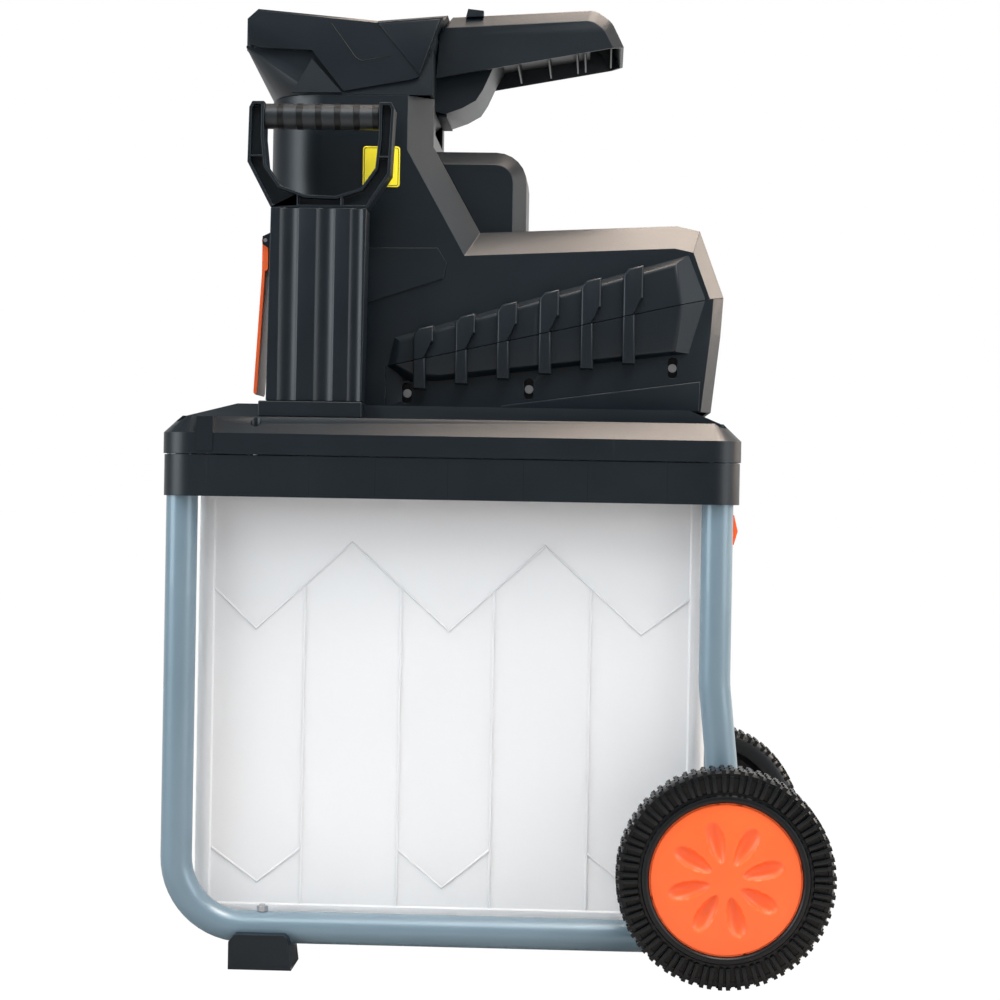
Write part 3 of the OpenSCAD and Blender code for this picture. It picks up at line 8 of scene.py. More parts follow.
# %% Load the frame
import json
import math
import bpy
import bmesh
from mathutils import Euler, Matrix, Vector


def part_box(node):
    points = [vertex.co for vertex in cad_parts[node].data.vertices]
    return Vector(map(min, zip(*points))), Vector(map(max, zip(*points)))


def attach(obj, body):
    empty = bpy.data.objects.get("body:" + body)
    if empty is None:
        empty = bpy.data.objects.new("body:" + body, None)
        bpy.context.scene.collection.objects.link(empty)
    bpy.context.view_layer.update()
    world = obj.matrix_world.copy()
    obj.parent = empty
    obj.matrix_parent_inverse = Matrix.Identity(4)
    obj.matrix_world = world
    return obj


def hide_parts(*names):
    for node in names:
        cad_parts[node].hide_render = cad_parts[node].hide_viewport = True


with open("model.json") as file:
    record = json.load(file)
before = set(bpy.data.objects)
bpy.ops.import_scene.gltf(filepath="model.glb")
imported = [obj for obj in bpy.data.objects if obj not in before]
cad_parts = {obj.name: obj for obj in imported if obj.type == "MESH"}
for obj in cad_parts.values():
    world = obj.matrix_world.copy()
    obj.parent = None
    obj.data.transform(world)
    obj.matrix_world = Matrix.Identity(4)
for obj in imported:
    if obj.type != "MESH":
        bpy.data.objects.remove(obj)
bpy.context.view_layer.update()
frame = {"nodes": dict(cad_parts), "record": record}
MM = 0.001
body_of = {n: b for b, nodes in frame["record"]["behaviour"]["bodies"].items() for n in nodes}
slot_of = {s["node"]: s["material_slot"] for s in frame["record"]["subparts"]}

# %% [markdown]
# ## The camera
# The portrait is a side view taken with a long lens from about two and a half metres,
# level with the middle of the machine. The camera is turned a little to the left and
# rolled by one degree, as the tilted deck line shows. It comes first, because every later
# choice is judged through it.

# %% Camera
CAMERA_AT = Vector((100.4, -2540, 473.5)) * MM
LOOK_LEFT, LOOK_DOWN, ROLL = 2.362, 0.278, 1.0
LENS = 87.12

lens_data = bpy.data.cameras.new("portrait_lens")
lens_data.lens = LENS
lens_data.sensor_width = 36
camera = bpy.data.objects.new("portrait_camera", lens_data)
bpy.context.scene.collection.objects.link(camera)
turn = Euler((0, 0, math.radians(LOOK_LEFT))).to_matrix()
tip = Euler((math.radians(90 - LOOK_DOWN), 0, 0)).to_matrix()
roll = Euler((0, 0, math.radians(ROLL))).to_matrix()
camera.matrix_world = (turn @ tip @ roll).to_4x4()
camera.location = CAMERA_AT
bpy.context.scene.camera = camera
bpy.context.scene.view_settings.view_transform = "Standard"
print("camera at", [round(v, 3) for v in camera.location])

# %% [markdown]
# ## Node helpers
# Materials and node groups are built in code, so three small helpers keep that short:
# one adds a node and fills in its values, one links two sockets, and one starts a
# material with its Principled BSDF.

# %% Node helpers
def add(tree, kind, **values):
    node = tree.nodes.new(kind)
    for key, value in values.items():
        if hasattr(node, key):
            setattr(node, key, value)
        else:
            node.inputs[key.replace("_", " ")].default_value = value
    return node


def join(tree, source, target):
    tree.links.new(source, target)


def start_material(name):
    material = bpy.data.materials.new(name)
    material.use_nodes = True
    tree = material.node_tree
    shader = tree.nodes["Principled BSDF"]
    place = add(tree, "ShaderNodeTexCoord").outputs["Object"]
    return material, tree, shader, place


# %% [markdown]
# ## Floor, sky and lamps
# The portrait has a white ground with no horizon. A camera ray that meets the floor or
# the sky sees white, and so does a ray that came through the milky box. A ray off a shiny
# surface sees white only where it runs towards the backdrop: on the camera side the
# studio is dim. To all other light the floor is plain grey, so it still bounces light up
# under the deck, and a trace of the shadow stays on it.
#
# A warm softbox hangs over the machine and another stands behind it on the wheel side, so
# the sloping borders of the plastic catch them. Three cool ones stand far out above, left
# and right of the camera: they light the colours, but the flat black sides mirror the
# dark between them.

# %% Floor and sky
FLOOR_HALF, FLOOR_GREY, FLOOR_ROUGH = 30.0, 0.4, 0.9
WHITE_SHARE, WHITE_LEVEL = 0.97, 1.028
SKY_DIM, SKY_WHITE = 0.2, 1.0
# Where a mirrored ray turns from dim to white: metres along Y, and the Y share of its heading
FLOOR_FADE, SKY_FADE = (0.0, 1.5), (0.5, 0.95)


def sees_white(tree, place, span):
    rays = add(tree, "ShaderNodeLightPath")
    direct = add(tree, "ShaderNodeMath", operation="MAXIMUM")
    join(tree, rays.outputs["Is Camera Ray"], direct.inputs[0])
    join(tree, rays.outputs["Is Transmission Ray"], direct.inputs[1])
    split = add(tree, "ShaderNodeSeparateXYZ")
    join(tree, place, split.inputs[0])
    fade = add(tree, "ShaderNodeMapRange")
    fade.inputs["From Min"].default_value = span[0]
    fade.inputs["From Max"].default_value = span[1]
    join(tree, split.outputs["Y"], fade.inputs["Value"])
    mirrored = add(tree, "ShaderNodeMath", operation="MULTIPLY")
    join(tree, rays.outputs["Is Glossy Ray"], mirrored.inputs[0])
    join(tree, fade.outputs["Result"], mirrored.inputs[1])
    seen = add(tree, "ShaderNodeMath", operation="MAXIMUM")
    join(tree, direct.outputs[0], seen.inputs[0])
    join(tree, mirrored.outputs[0], seen.inputs[1])
    return seen.outputs[0]


floor_mesh = bpy.data.meshes.new("floor")
corners = [(-FLOOR_HALF, -FLOOR_HALF, 0), (FLOOR_HALF, -FLOOR_HALF, 0),
           (FLOOR_HALF, FLOOR_HALF, 0), (-FLOOR_HALF, FLOOR_HALF, 0)]
floor_mesh.from_pydata(corners, [], [(0, 1, 2, 3)])
floor = bpy.data.objects.new("floor", floor_mesh)
bpy.context.scene.collection.objects.link(floor)

floor_paint, tree, shader, place = start_material("floor_paint")
shader.inputs["Base Color"].default_value = (FLOOR_GREY, FLOOR_GREY, FLOOR_GREY, 1)
shader.inputs["Roughness"].default_value = FLOOR_ROUGH
share = add(tree, "ShaderNodeMath", operation="MULTIPLY")
join(tree, sees_white(tree, place, FLOOR_FADE), share.inputs[0])
share.inputs[1].default_value = WHITE_SHARE
glow = add(tree, "ShaderNodeEmission", Color=(1, 1, 1, 1), Strength=WHITE_LEVEL)
mix = add(tree, "ShaderNodeMixShader")
join(tree, share.outputs[0], mix.inputs["Fac"])
join(tree, shader.outputs[0], mix.inputs[1])
join(tree, glow.outputs[0], mix.inputs[2])
join(tree, mix.outputs[0], tree.nodes["Material Output"].inputs["Surface"])
floor_mesh.materials.append(floor_paint)

world = bpy.data.worlds.new("studio")
bpy.context.scene.world = world
world.use_nodes = True
tree = world.node_tree
heading = add(tree, "ShaderNodeTexCoord").outputs["Generated"]
level = add(tree, "ShaderNodeMapRange")
level.inputs["To Min"].default_value = SKY_DIM
level.inputs["To Max"].default_value = SKY_WHITE
join(tree, sees_white(tree, heading, SKY_FADE), level.inputs["Value"])
sky = tree.nodes["Background"]
sky.inputs["Color"].default_value = (1, 1, 1, 1)
join(tree, level.outputs["Result"], sky.inputs["Strength"])
print("floor:", 2 * FLOOR_HALF, "m wide")


# %% Lamps
# Each lamp: where it hangs, what it points at, width and height, watts, colour
LAMPS = {
    "overhead": ((0.45, -0.05, 2.4), (0.2, -0.1, 0.7), (2.2, 0.95), 112, (1.0, 0.83, 0.7)),
    "rear_side": ((2.3, 0.9, 1.5), (0.1, 0, 0.7), (1.6, 1.6), 75, (1.0, 0.84, 0.71)),
    "front_top": ((0.1, -1.5, 2.6), (0, -0.1, 0.4), (2.2, 1.2), 39, (0.92, 0.97, 1.0)),
    "front_left": ((-2.7, -1.5, 1.2), (0, 0, 0.5), (1.8, 2.0), 74, (0.86, 0.95, 1.0)),
    "front_right": ((2.7, -1.5, 1.2), (0, 0, 0.5), (1.8, 2.0), 46, (0.90, 0.96, 1.0)),
}


def softbox(name, at, aim, size, power, colour):
    data = bpy.data.lights.new(name, "AREA")
    data.shape = "RECTANGLE"
    data.size, data.size_y = size
    data.energy = power
    data.color = colour
    lamp = bpy.data.objects.new(name, data)
    lamp.location = at
    lamp.rotation_euler = (Vector(aim) - Vector(at)).to_track_quat("-Z", "Y").to_euler()
    bpy.context.scene.collection.objects.link(lamp)


for name, values in LAMPS.items():
    softbox(name, *values)
print("lamps:", len(LAMPS))

# %% [markdown]
# ## Shared surface effects
# Moulded plastic is never quite even: it carries a fine spark-eroded grain, slow changes
# of gloss where it cooled, and a few hair scratches. Each effect is a node group that is
# built once and placed in several materials with its own values.

# %% Moulded grain group
def new_group(name, inputs, outputs):
    group = bpy.data.node_groups.new(name, "ShaderNodeTree")
    group.interface.new_socket("Vector", in_out="INPUT", socket_type="NodeSocketVector")
    for label, value in inputs.items():
        socket = group.interface.new_socket(label, in_out="INPUT", socket_type="NodeSocketFloat")
        socket.default_value = value
    for label, kind in outputs.items():
        group.interface.new_socket(label, in_out="OUTPUT", socket_type=kind)
    return group, group.nodes.new("NodeGroupInput"), group.nodes.new("NodeGroupOutput")


def build_grain():
    group, given, result = new_group(
        "moulded_grain", {"Grain Scale": 900.0, "Cloud Scale": 14.0},
        {"Height": "NodeSocketFloat", "Cloud": "NodeSocketFloat"})
    fine = add(group, "ShaderNodeTexNoise", Detail=2.0, Roughness=0.6)
    join(group, given.outputs["Vector"], fine.inputs["Vector"])
    join(group, given.outputs["Grain Scale"], fine.inputs["Scale"])
    slow = add(group, "ShaderNodeTexNoise", Detail=4.0, Roughness=0.55)
    join(group, given.outputs["Vector"], slow.inputs["Vector"])
    join(group, given.outputs["Cloud Scale"], slow.inputs["Scale"])
    join(group, fine.outputs["Fac"], result.inputs["Height"])
    join(group, slow.outputs["Fac"], result.inputs["Cloud"])
    return group


HAIR_STRETCH, HAIR_TURN = (1, 1, 0.06), (0.5, 0.9, 0.3)
HAIR_FROM, HAIR_TO = 0.70, 0.76


def build_scratches():
    group, given, result = new_group(
        "hair_scratches", {"Spread": 60.0, "Amount": 0.3}, {"Mask": "NodeSocketFloat"})
    stretch = add(group, "ShaderNodeMapping")
    stretch.inputs["Scale"].default_value = HAIR_STRETCH
    stretch.inputs["Rotation"].default_value = HAIR_TURN
    join(group, given.outputs["Vector"], stretch.inputs["Vector"])
    lines = add(group, "ShaderNodeTexNoise", Detail=3.0, Roughness=0.7)
    join(group, stretch.outputs[0], lines.inputs["Vector"])
    join(group, given.outputs["Spread"], lines.inputs["Scale"])
    thin = add(group, "ShaderNodeMapRange")
    thin.inputs["From Min"].default_value = HAIR_FROM
    thin.inputs["From Max"].default_value = HAIR_TO
    join(group, lines.outputs["Fac"], thin.inputs["Value"])
    scaled = add(group, "ShaderNodeMath", operation="MULTIPLY")
    join(group, thin.outputs["Result"], scaled.inputs[0])
    join(group, given.outputs["Amount"], scaled.inputs[1])
    join(group, scaled.outputs[0], result.inputs["Mask"])
    return group


grain_group = build_grain()
scratch_group = build_scratches()
print("effects:", grain_group.name, scratch_group.name)


# %% [markdown]
# ## Plastics
# All moulded plastics share one recipe: a base colour that drifts slightly between two
# shades, a gloss that drifts with it, a fine grain in the normal and a few scratches
# that show as paler hair lines. Only the values change from black shell to orange cap.
# Each step is a helper of its own, because the box, the paint and the metals use it too.

# %% Recipe steps
GRAIN_DEEP = 0.0004


def place_grain(tree, place, **scales):
    grain_node = add(tree, "ShaderNodeGroup", node_tree=grain_group, **scales)
    join(tree, place, grain_node.inputs["Vector"])
    return grain_node


def drifting_colour(tree, drift, dark, light):
    shade = add(tree, "ShaderNodeMix", data_type="RGBA")
    shade.inputs["A"].default_value = (*dark, 1)
    shade.inputs["B"].default_value = (*light, 1)
    join(tree, drift, shade.inputs["Factor"])
    return shade.outputs["Result"]


def drifting_gloss(tree, shader, drift, gloss):
    sheen = add(tree, "ShaderNodeMapRange")
    sheen.inputs["To Min"].default_value = gloss[0]
    sheen.inputs["To Max"].default_value = gloss[1]
    join(tree, drift, sheen.inputs["Value"])
    join(tree, sheen.outputs["Result"], shader.inputs["Roughness"])


def grain_bump(tree, shader, grain_node, strength, deep=GRAIN_DEEP):
    bump = add(tree, "ShaderNodeBump", Strength=strength)
    bump.inputs["Distance"].default_value = deep
    join(tree, grain_node.outputs["Height"], bump.inputs["Height"])
    join(tree, bump.outputs["Normal"], shader.inputs["Normal"])


# %% Plastic recipe
SCRATCHES, WORN_GAIN, WORN_LIFT = 0.2, 1.6, 0.03


def moulded_plastic(name, dark, light, gloss, grain=0.25, grain_scale=900.0, specular=0.5):
    material, tree, shader, place = start_material(name)
    grain_node = place_grain(tree, place, Grain_Scale=grain_scale)
    cloud = grain_node.outputs["Cloud"]
    hairs = add(tree, "ShaderNodeGroup", node_tree=scratch_group, Amount=SCRATCHES)
    join(tree, place, hairs.inputs["Vector"])
    worn = add(tree, "ShaderNodeMix", data_type="RGBA")
    worn.inputs["B"].default_value = (*[min(1, WORN_GAIN * c + WORN_LIFT) for c in light], 1)
    join(tree, hairs.outputs["Mask"], worn.inputs["Factor"])
    join(tree, drifting_colour(tree, cloud, dark, light), worn.inputs["A"])
    join(tree, worn.outputs["Result"], shader.inputs["Base Color"])
    drifting_gloss(tree, shader, cloud, gloss)
    grain_bump(tree, shader, grain_node, grain)
    shader.inputs["Specular IOR Level"].default_value = specular
    return material


# %% Plastic finishes
black_shell = moulded_plastic("black_shell", (0.001, 0.004, 0.007), (0.003, 0.008, 0.013), (0.34, 0.44),
                              specular=0.4)
wheel_black = moulded_plastic("wheel_black", (0.002, 0.003, 0.004), (0.004, 0.005, 0.006), (0.32, 0.42),
                              grain=0.2, grain_scale=500, specular=0.3)
grip_black = moulded_plastic("grip_black", (0.010, 0.013, 0.016), (0.016, 0.020, 0.024), (0.34, 0.42),
                             grain=0.2, grain_scale=600, specular=0.45)
orange_shell = moulded_plastic("orange_shell", (0.90, 0.105, 0.018), (0.98, 0.15, 0.03), (0.36, 0.46),
                               grain=0.12)
yellow_film = moulded_plastic("yellow_film", (0.80, 0.68, 0.02), (0.90, 0.78, 0.04), (0.3, 0.42),
                              grain=0.05)
green_cap = moulded_plastic("green_cap", (0.015, 0.22, 0.04), (0.03, 0.30, 0.06), (0.2, 0.3), grain=0.05)
red_cap = moulded_plastic("red_cap", (0.45, 0.012, 0.01), (0.58, 0.02, 0.015), (0.2, 0.3), grain=0.05)
print("plastics from", black_shell.name, "to", red_cap.name)

# %% [markdown]
# ## Milky box plastic
# The collection box is unpigmented polypropylene: light goes in, scatters and comes out
# again, so dark things behind it show only as soft clouds. Rough transmission in the
# Principled shader gives that look without a slow volume.

# %% Milky plastic
MILKY_DARK, MILKY_LIGHT = (0.93, 0.935, 0.95), (0.97, 0.97, 0.975)
MILKY_GLOSS, MILKY_CLOUD, MILKY_GRAIN = (0.42, 0.55), 6.0, 0.15
MILKY_THROUGH, MILKY_INDEX = 0.55, 1.3


def milky_plastic(name):
    material, tree, shader, place = start_material(name)
    grain_node = place_grain(tree, place, Cloud_Scale=MILKY_CLOUD)
    cloud = grain_node.outputs["Cloud"]
    join(tree, drifting_colour(tree, cloud, MILKY_DARK, MILKY_LIGHT), shader.inputs["Base Color"])
    drifting_gloss(tree, shader, cloud, MILKY_GLOSS)
    grain_bump(tree, shader, grain_node, MILKY_GRAIN)
    shader.inputs["Transmission Weight"].default_value = MILKY_THROUGH
    shader.inputs["IOR"].default_value = MILKY_INDEX
    return material


milky_box = milky_plastic("milky_box")
print("light let through:", MILKY_THROUGH)

# %% [markdown]
# ## Paint and bare metal
# The tube frame is powder coated: a grey-blue skin with a slight orange peel. Screws,
# axle and the cutting unit are bare steel whose gloss changes finely, as turned steel does,
# and the castings of the drive are dull aluminium. A picture of each surface would do from
# afar, but the recipe steps need no picture and hold at any distance.

# %% Metals
COAT_DARK, COAT_LIGHT, COAT_GLOSS = (0.145, 0.215, 0.265), (0.175, 0.25, 0.305), (0.30, 0.42)
PEEL_SCALE, PEEL_BUMP, PEEL_DEEP = 380.0, 0.12, 0.0006
COAT_METALLIC, COAT_CLEAR = 0.15, 0.2
TURNING_SCALE, STAIN_SCALE = 500.0, 40.0


def coated_tube(name):
    material, tree, shader, place = start_material(name)
    grain_node = place_grain(tree, place, Grain_Scale=PEEL_SCALE)
    cloud = grain_node.outputs["Cloud"]
    join(tree, drifting_colour(tree, cloud, COAT_DARK, COAT_LIGHT), shader.inputs["Base Color"])
    drifting_gloss(tree, shader, cloud, COAT_GLOSS)
    grain_bump(tree, shader, grain_node, PEEL_BUMP, PEEL_DEEP)
    shader.inputs["Metallic"].default_value = COAT_METALLIC
    shader.inputs["Coat Weight"].default_value = COAT_CLEAR
    return material


def bare_metal(name, dark, light, gloss):
    material, tree, shader, place = start_material(name)
    grain_node = place_grain(tree, place, Grain_Scale=TURNING_SCALE, Cloud_Scale=STAIN_SCALE)
    join(tree, drifting_colour(tree, grain_node.outputs["Cloud"], dark, light), shader.inputs["Base Color"])
    drifting_gloss(tree, shader, grain_node.outputs["Height"], gloss)
    shader.inputs["Metallic"].default_value = 1.0
    return material


tube_coat = coated_tube("tube_coat")
bare_steel = bare_metal("bare_steel", (0.42, 0.43, 0.45), (0.60, 0.61, 0.63), (0.25, 0.45))
cast_alloy = bare_metal("cast_alloy", (0.55, 0.56, 0.57), (0.68, 0.69, 0.70), (0.4, 0.6))
core_iron = bare_metal("core_iron", (0.12, 0.12, 0.13), (0.22, 0.22, 0.23), (0.45, 0.65))

FINISH = {"black_plastic": black_shell, "wheel_plastic": wheel_black, "tube_paint": tube_coat,
          "orange_plastic": orange_shell, "box_plastic": milky_box, "grip_rubber": grip_black,
          "yellow_film": yellow_film, "green_plastic": green_cap, "red_plastic": red_cap,
          "steel": bare_steel, "iron": core_iron, "alloy": cast_alloy}
for node, solid in frame["nodes"].items():
    solid.data.materials.clear()
    solid.data.materials.append(FINISH[slot_of[node]])
print("finishes:", len(FINISH))

# %% [markdown]
# ## Rounded moulded edges
# A mould leaves no knife edges: every corner of a plastic shell has a radius of a
# millimetre or so, and that is where the light draws its thin lines. The edges could be
# rounded one by one in the construction model, but one modifier does it for all. Each
# moulding is copied, its loose triangles are merged into clean faces, and Bevel rounds
# every edge that turns by more than about thirty degrees.

# %% Rounded copies
def link_mesh(name, mesh):
    piece = bpy.data.objects.new(name, mesh)
    bpy.context.scene.collection.objects.link(piece)
    return piece


def evaluated_mesh(piece):
    graph = bpy.context.evaluated_depsgraph_get()
    return bpy.data.meshes.new_from_object(piece.evaluated_get(graph))


def bake(piece):
    mesh = evaluated_mesh(piece)
    piece.modifiers.clear()
    piece.data = mesh


def hand_over(piece, body, slot, *nodes):
    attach(piece, body)
    if nodes:
        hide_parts(*nodes)


def settle(shape, name, angle=35):
    bmesh.ops.recalc_face_normals(shape, faces=shape.faces)
    mesh = bpy.data.meshes.new(name)
    shape.to_mesh(mesh)
    shape.free()
    mesh.shade_smooth()
    mesh.set_sharp_from_angle(angle=math.radians(angle))
    return mesh


# Points closer than this, in metres, are one; a flatter turn is no edge, a sharper one is
MERGE, FLAT, CREASE, EDGE_STEPS = 0.00001, math.radians(1), 32, 2


def rounded_copy(node, radius, trim=None):
    shape = bmesh.new()
    shape.from_mesh(frame["nodes"][node].data)
    bmesh.ops.remove_doubles(shape, verts=shape.verts, dist=MERGE)
    if trim:
        trim(shape)
    bmesh.ops.dissolve_limit(shape, angle_limit=FLAT, verts=shape.verts, edges=shape.edges)
    mesh = settle(shape, node + "_moulded", CREASE)
    mesh.materials.append(FINISH[slot_of[node]])
    piece = link_mesh(node + "_moulded", mesh)
    edge = piece.modifiers.new("edge", "BEVEL")
    edge.width = radius
    edge.segments = EDGE_STEPS
    edge.limit_method = "ANGLE"
    edge.angle_limit = math.radians(CREASE)
    edge.harden_normals = True
    bake(piece)
    hand_over(piece, body_of[node], slot_of[node], node)


# %% Rounded edges
SHELL_EDGE, DETAIL_EDGE = 1.4 * MM, 0.6 * MM
EDGE_RADIUS = {
    SHELL_EDGE: ["control_box", "hopper_shell", "hopper_funnel", "base_skirt", "base_deck",
                 "plunger_blade", "plunger_handle", "plunger_holder", "foot_near", "foot_far",
                 "collection_box", "adjust_knob"],
    DETAIL_EDGE: ["side_badge", "stop_flap", "lock_guide", "lock_slider", "box_handle", "rear_grille",
                  "power_inlet", "direction_selector", "reset_button", "switch_panel",
                  "start_button", "stop_button"],
}
for radius, nodes in EDGE_RADIUS.items():
    for node in nodes:
        rounded_copy(node, radius)
print("rounded:", sum(len(n) for n in EDGE_RADIUS.values()))

# %% [markdown]
# The two rear corners of the hopper lip are far rounder than the rest. Their creases run
# across the top and down the sloping border, so those edges get a wide bevel of their own
# before the fine rounding.

# %% Lip corners
# Each corner of the lip in side view, in mm, and how close an edge has to be to belong to it
LIP_CORNERS = [(104.0, 952.5), (87.0, 964.0)]
AT_CORNER, BORDER_REACH = 0.5, 14.5
LIP_SIDE, LIP_ROUND, LIP_STEPS = 68.5, 4.8, 5
LIP_EDGE = 0.7 * MM


def round_lip(shape):
    bmesh.ops.dissolve_limit(shape, angle_limit=FLAT, verts=shape.verts, edges=shape.edges)
    creases = []
    for x, z in LIP_CORNERS:
        for edge in shape.edges:
            ends = [(math.hypot(v.co.x / MM - x, v.co.z / MM - z), abs(v.co.y) / MM) for v in edge.verts]
            (near, _), (far, side) = sorted(ends)
            across = far < AT_CORNER
            down_border = far < BORDER_REACH and side > LIP_SIDE
            if near < AT_CORNER and (across or down_border):
                creases.append(edge)
    print("lip creases:", len(creases))
    bmesh.ops.bevel(shape, geom=creases, offset=LIP_ROUND * MM, segments=LIP_STEPS, profile=0.5,
                    affect="EDGES", clamp_overlap=True)


rounded_copy("hopper_lip", LIP_EDGE, trim=round_lip)

# %% [markdown]
# ## Geometry node trees
# Two things repeat all over this machine: beads and tubes that follow a path, and small
# blocks that stand in a ring. Each gets one tree with named inputs. The result is turned
# into a plain mesh, because a finished piece carries its shape itself.

# %% Tree that sweeps a round section along a path
def tree_sockets(tree, **inputs):
    tree.interface.new_socket("Geometry", in_out="INPUT", socket_type="NodeSocketGeometry")
    for label, (kind, value) in inputs.items():
        socket = tree.interface.new_socket(label.replace("_", " "), in_out="INPUT", socket_type=kind)
        if value is not None:
            socket.default_value = value
    tree.interface.new_socket("Geometry", in_out="OUTPUT", socket_type="NodeSocketGeometry")
    return tree.nodes.new("NodeGroupInput"), tree.nodes.new("NodeGroupOutput")


def paint_result(tree, geometry, given, result):
    whole = add(tree, "GeometryNodeRealizeInstances")
    join(tree, geometry, whole.inputs[0])
    painted = add(tree, "GeometryNodeSetMaterial")
    join(tree, whole.outputs[0], painted.inputs["Geometry"])
    join(tree, given.outputs["Finish"], painted.inputs["Material"])
    join(tree, painted.outputs[0], result.inputs[0])


def build_sweep():
    tree = bpy.data.node_groups.new("round_sweep", "GeometryNodeTree")
    given, result = tree_sockets(
        tree, Radius=("NodeSocketFloat", 0.01), Sides=("NodeSocketInt", 24),
        Finish=("NodeSocketMaterial", None))
    section = add(tree, "GeometryNodeCurvePrimitiveCircle", mode="RADIUS")
    join(tree, given.outputs["Radius"], section.inputs["Radius"])
    join(tree, given.outputs["Sides"], section.inputs["Resolution"])
    sweep = add(tree, "GeometryNodeCurveToMesh")
    sweep.inputs["Fill Caps"].default_value = True
    join(tree, given.outputs["Geometry"], sweep.inputs["Curve"])
    join(tree, section.outputs["Curve"], sweep.inputs["Profile Curve"])
    paint_result(tree, sweep.outputs[0], given, result)
    return tree


round_sweep = build_sweep()


def run_tree(piece, tree, **values):
    step = piece.modifiers.new(tree.name, "NODES")
    step.node_group = tree
    for item in tree.interface.items_tree:
        key = item.name.replace(" ", "_")
        if item.in_out == "INPUT" and key in values:
            step[item.identifier] = values[key]
    mesh = evaluated_mesh(piece)
    carrier = piece.data
    bpy.data.objects.remove(piece)
    shelf = bpy.data.curves if isinstance(carrier, bpy.types.Curve) else bpy.data.meshes
    shelf.remove(carrier)
    return mesh


def sweep_mesh(paths, radius, sides, finish):
    curve = bpy.data.curves.new("path", "CURVE")
    curve.dimensions = "3D"
    for path in paths:
        line = curve.splines.new("POLY")
        line.points.add(len(path) - 1)
        for point, at in zip(line.points, path):
            point.co = (*at, 1)
    carrier = link_mesh("path", curve)
    return run_tree(carrier, round_sweep, Radius=radius, Sides=sides, Finish=finish)


# %% Tree that sets blocks in a ring
def build_ring():
    tree = bpy.data.node_groups.new("block_ring", "GeometryNodeTree")
    given, result = tree_sockets(
        tree, Count=("NodeSocketInt", 36), Radius=("NodeSocketFloat", 0.1), Shift=("NodeSocketFloat", 0.0),
        Turn=("NodeSocketFloat", 0.0), Size=("NodeSocketVector", (0.01, 0.01, 0.01)),
        Finish=("NodeSocketMaterial", None))
    block = add(tree, "GeometryNodeMeshCube")
    join(tree, given.outputs["Size"], block.inputs["Size"])
    out = add(tree, "ShaderNodeCombineXYZ")
    join(tree, given.outputs["Shift"], out.inputs["Y"])
    join(tree, given.outputs["Radius"], out.inputs["Z"])
    moved = add(tree, "GeometryNodeTransform")
    join(tree, block.outputs["Mesh"], moved.inputs["Geometry"])
    join(tree, out.outputs[0], moved.inputs["Translation"])
    points = add(tree, "GeometryNodePoints")
    join(tree, given.outputs["Count"], points.inputs["Count"])
    index = add(tree, "GeometryNodeInputIndex")
    pitch = add(tree, "ShaderNodeMath", operation="DIVIDE")
    pitch.inputs[0].default_value = 2 * math.pi
    join(tree, given.outputs["Count"], pitch.inputs[1])
    angle = add(tree, "ShaderNodeMath", operation="MULTIPLY_ADD")
    join(tree, index.outputs[0], angle.inputs[0])
    join(tree, pitch.outputs[0], angle.inputs[1])
    join(tree, given.outputs["Turn"], angle.inputs[2])
    about = add(tree, "ShaderNodeCombineXYZ")
    join(tree, angle.outputs[0], about.inputs["Y"])
    turned = add(tree, "FunctionNodeEulerToRotation")
    join(tree, about.outputs[0], turned.inputs[0])
    ring = add(tree, "GeometryNodeInstanceOnPoints")
    join(tree, points.outputs[0], ring.inputs["Points"])
    join(tree, moved.outputs[0], ring.inputs["Instance"])
    join(tree, turned.outputs[0], ring.inputs["Rotation"])
    paint_result(tree, ring.outputs[0], given, result)
    return tree


block_ring = build_ring()


def ring_mesh(**values):
    return run_tree(link_mesh("ring", bpy.data.meshes.new("ring")), block_ring, **values)


print("trees:", round_sweep.name, block_ring.name)

# %% [markdown]
# ## Housing shells, belt and ribs
# A belt runs along the seam of the motor cover, and six stepped ribs stand on it. On the
# solids it is a plain step, so the copies lose that step and the belt is made again with
# soft edges. Only the edges along the seam stay sharp: there the two halves meet.

# %% Housing shells
SIDE_FACE, PROUD = 104.0, 0.05


def strip_belt(shape):
    limit = (SIDE_FACE + PROUD) * MM
    proud = [f for f in shape.faces if any(abs(v.co.y) > limit for v in f.verts)]
    bmesh.ops.delete(shape, geom=proud, context="FACES")
    bmesh.ops.holes_fill(shape, edges=[e for e in shape.edges if e.is_boundary], sides=0)
    print("faces of the plain step taken off:", len(proud))


for node in ("housing_upper", "housing_lower"):
    rounded_copy(node, SHELL_EDGE, trim=strip_belt)


# %% Raised shapes
# A raised shape starts this far, in mm, below the face that it stands on
SINK = 0.5


def prism(shape, *rings):
    backs, fronts = [[shape.verts.new([c * MM for c in at]) for at in ring] for ring in rings]
    shape.faces.new(backs)
    shape.faces.new(fronts)
    count = len(backs)
    for i in range(count):
        j = (i + 1) % count
        shape.faces.new((backs[i], fronts[i], fronts[j], backs[j]))
    return fronts


def raised(shape, outline, inner, outer, soft, sharp_first=False, face=None):
    backs = [(x, inner, z) for x, z in outline]
    fronts = prism(shape, backs, [(x, outer, z) for x, z in face or outline])
    count = len(fronts)
    first = 1 if sharp_first else 0
    rim = [shape.edges.get((fronts[i], fronts[(i + 1) % count])) for i in range(first, count)]
    bmesh.ops.bevel(shape, geom=rim, offset=soft * MM, segments=3, profile=0.5, affect="EDGES",
                    clamp_overlap=True)


def finish_shape(shape, name, body, slot, *nodes):
    mesh = settle(shape, name)
    mesh.materials.append(FINISH[slot])
    hand_over(link_mesh(name, mesh), body, slot, *nodes)


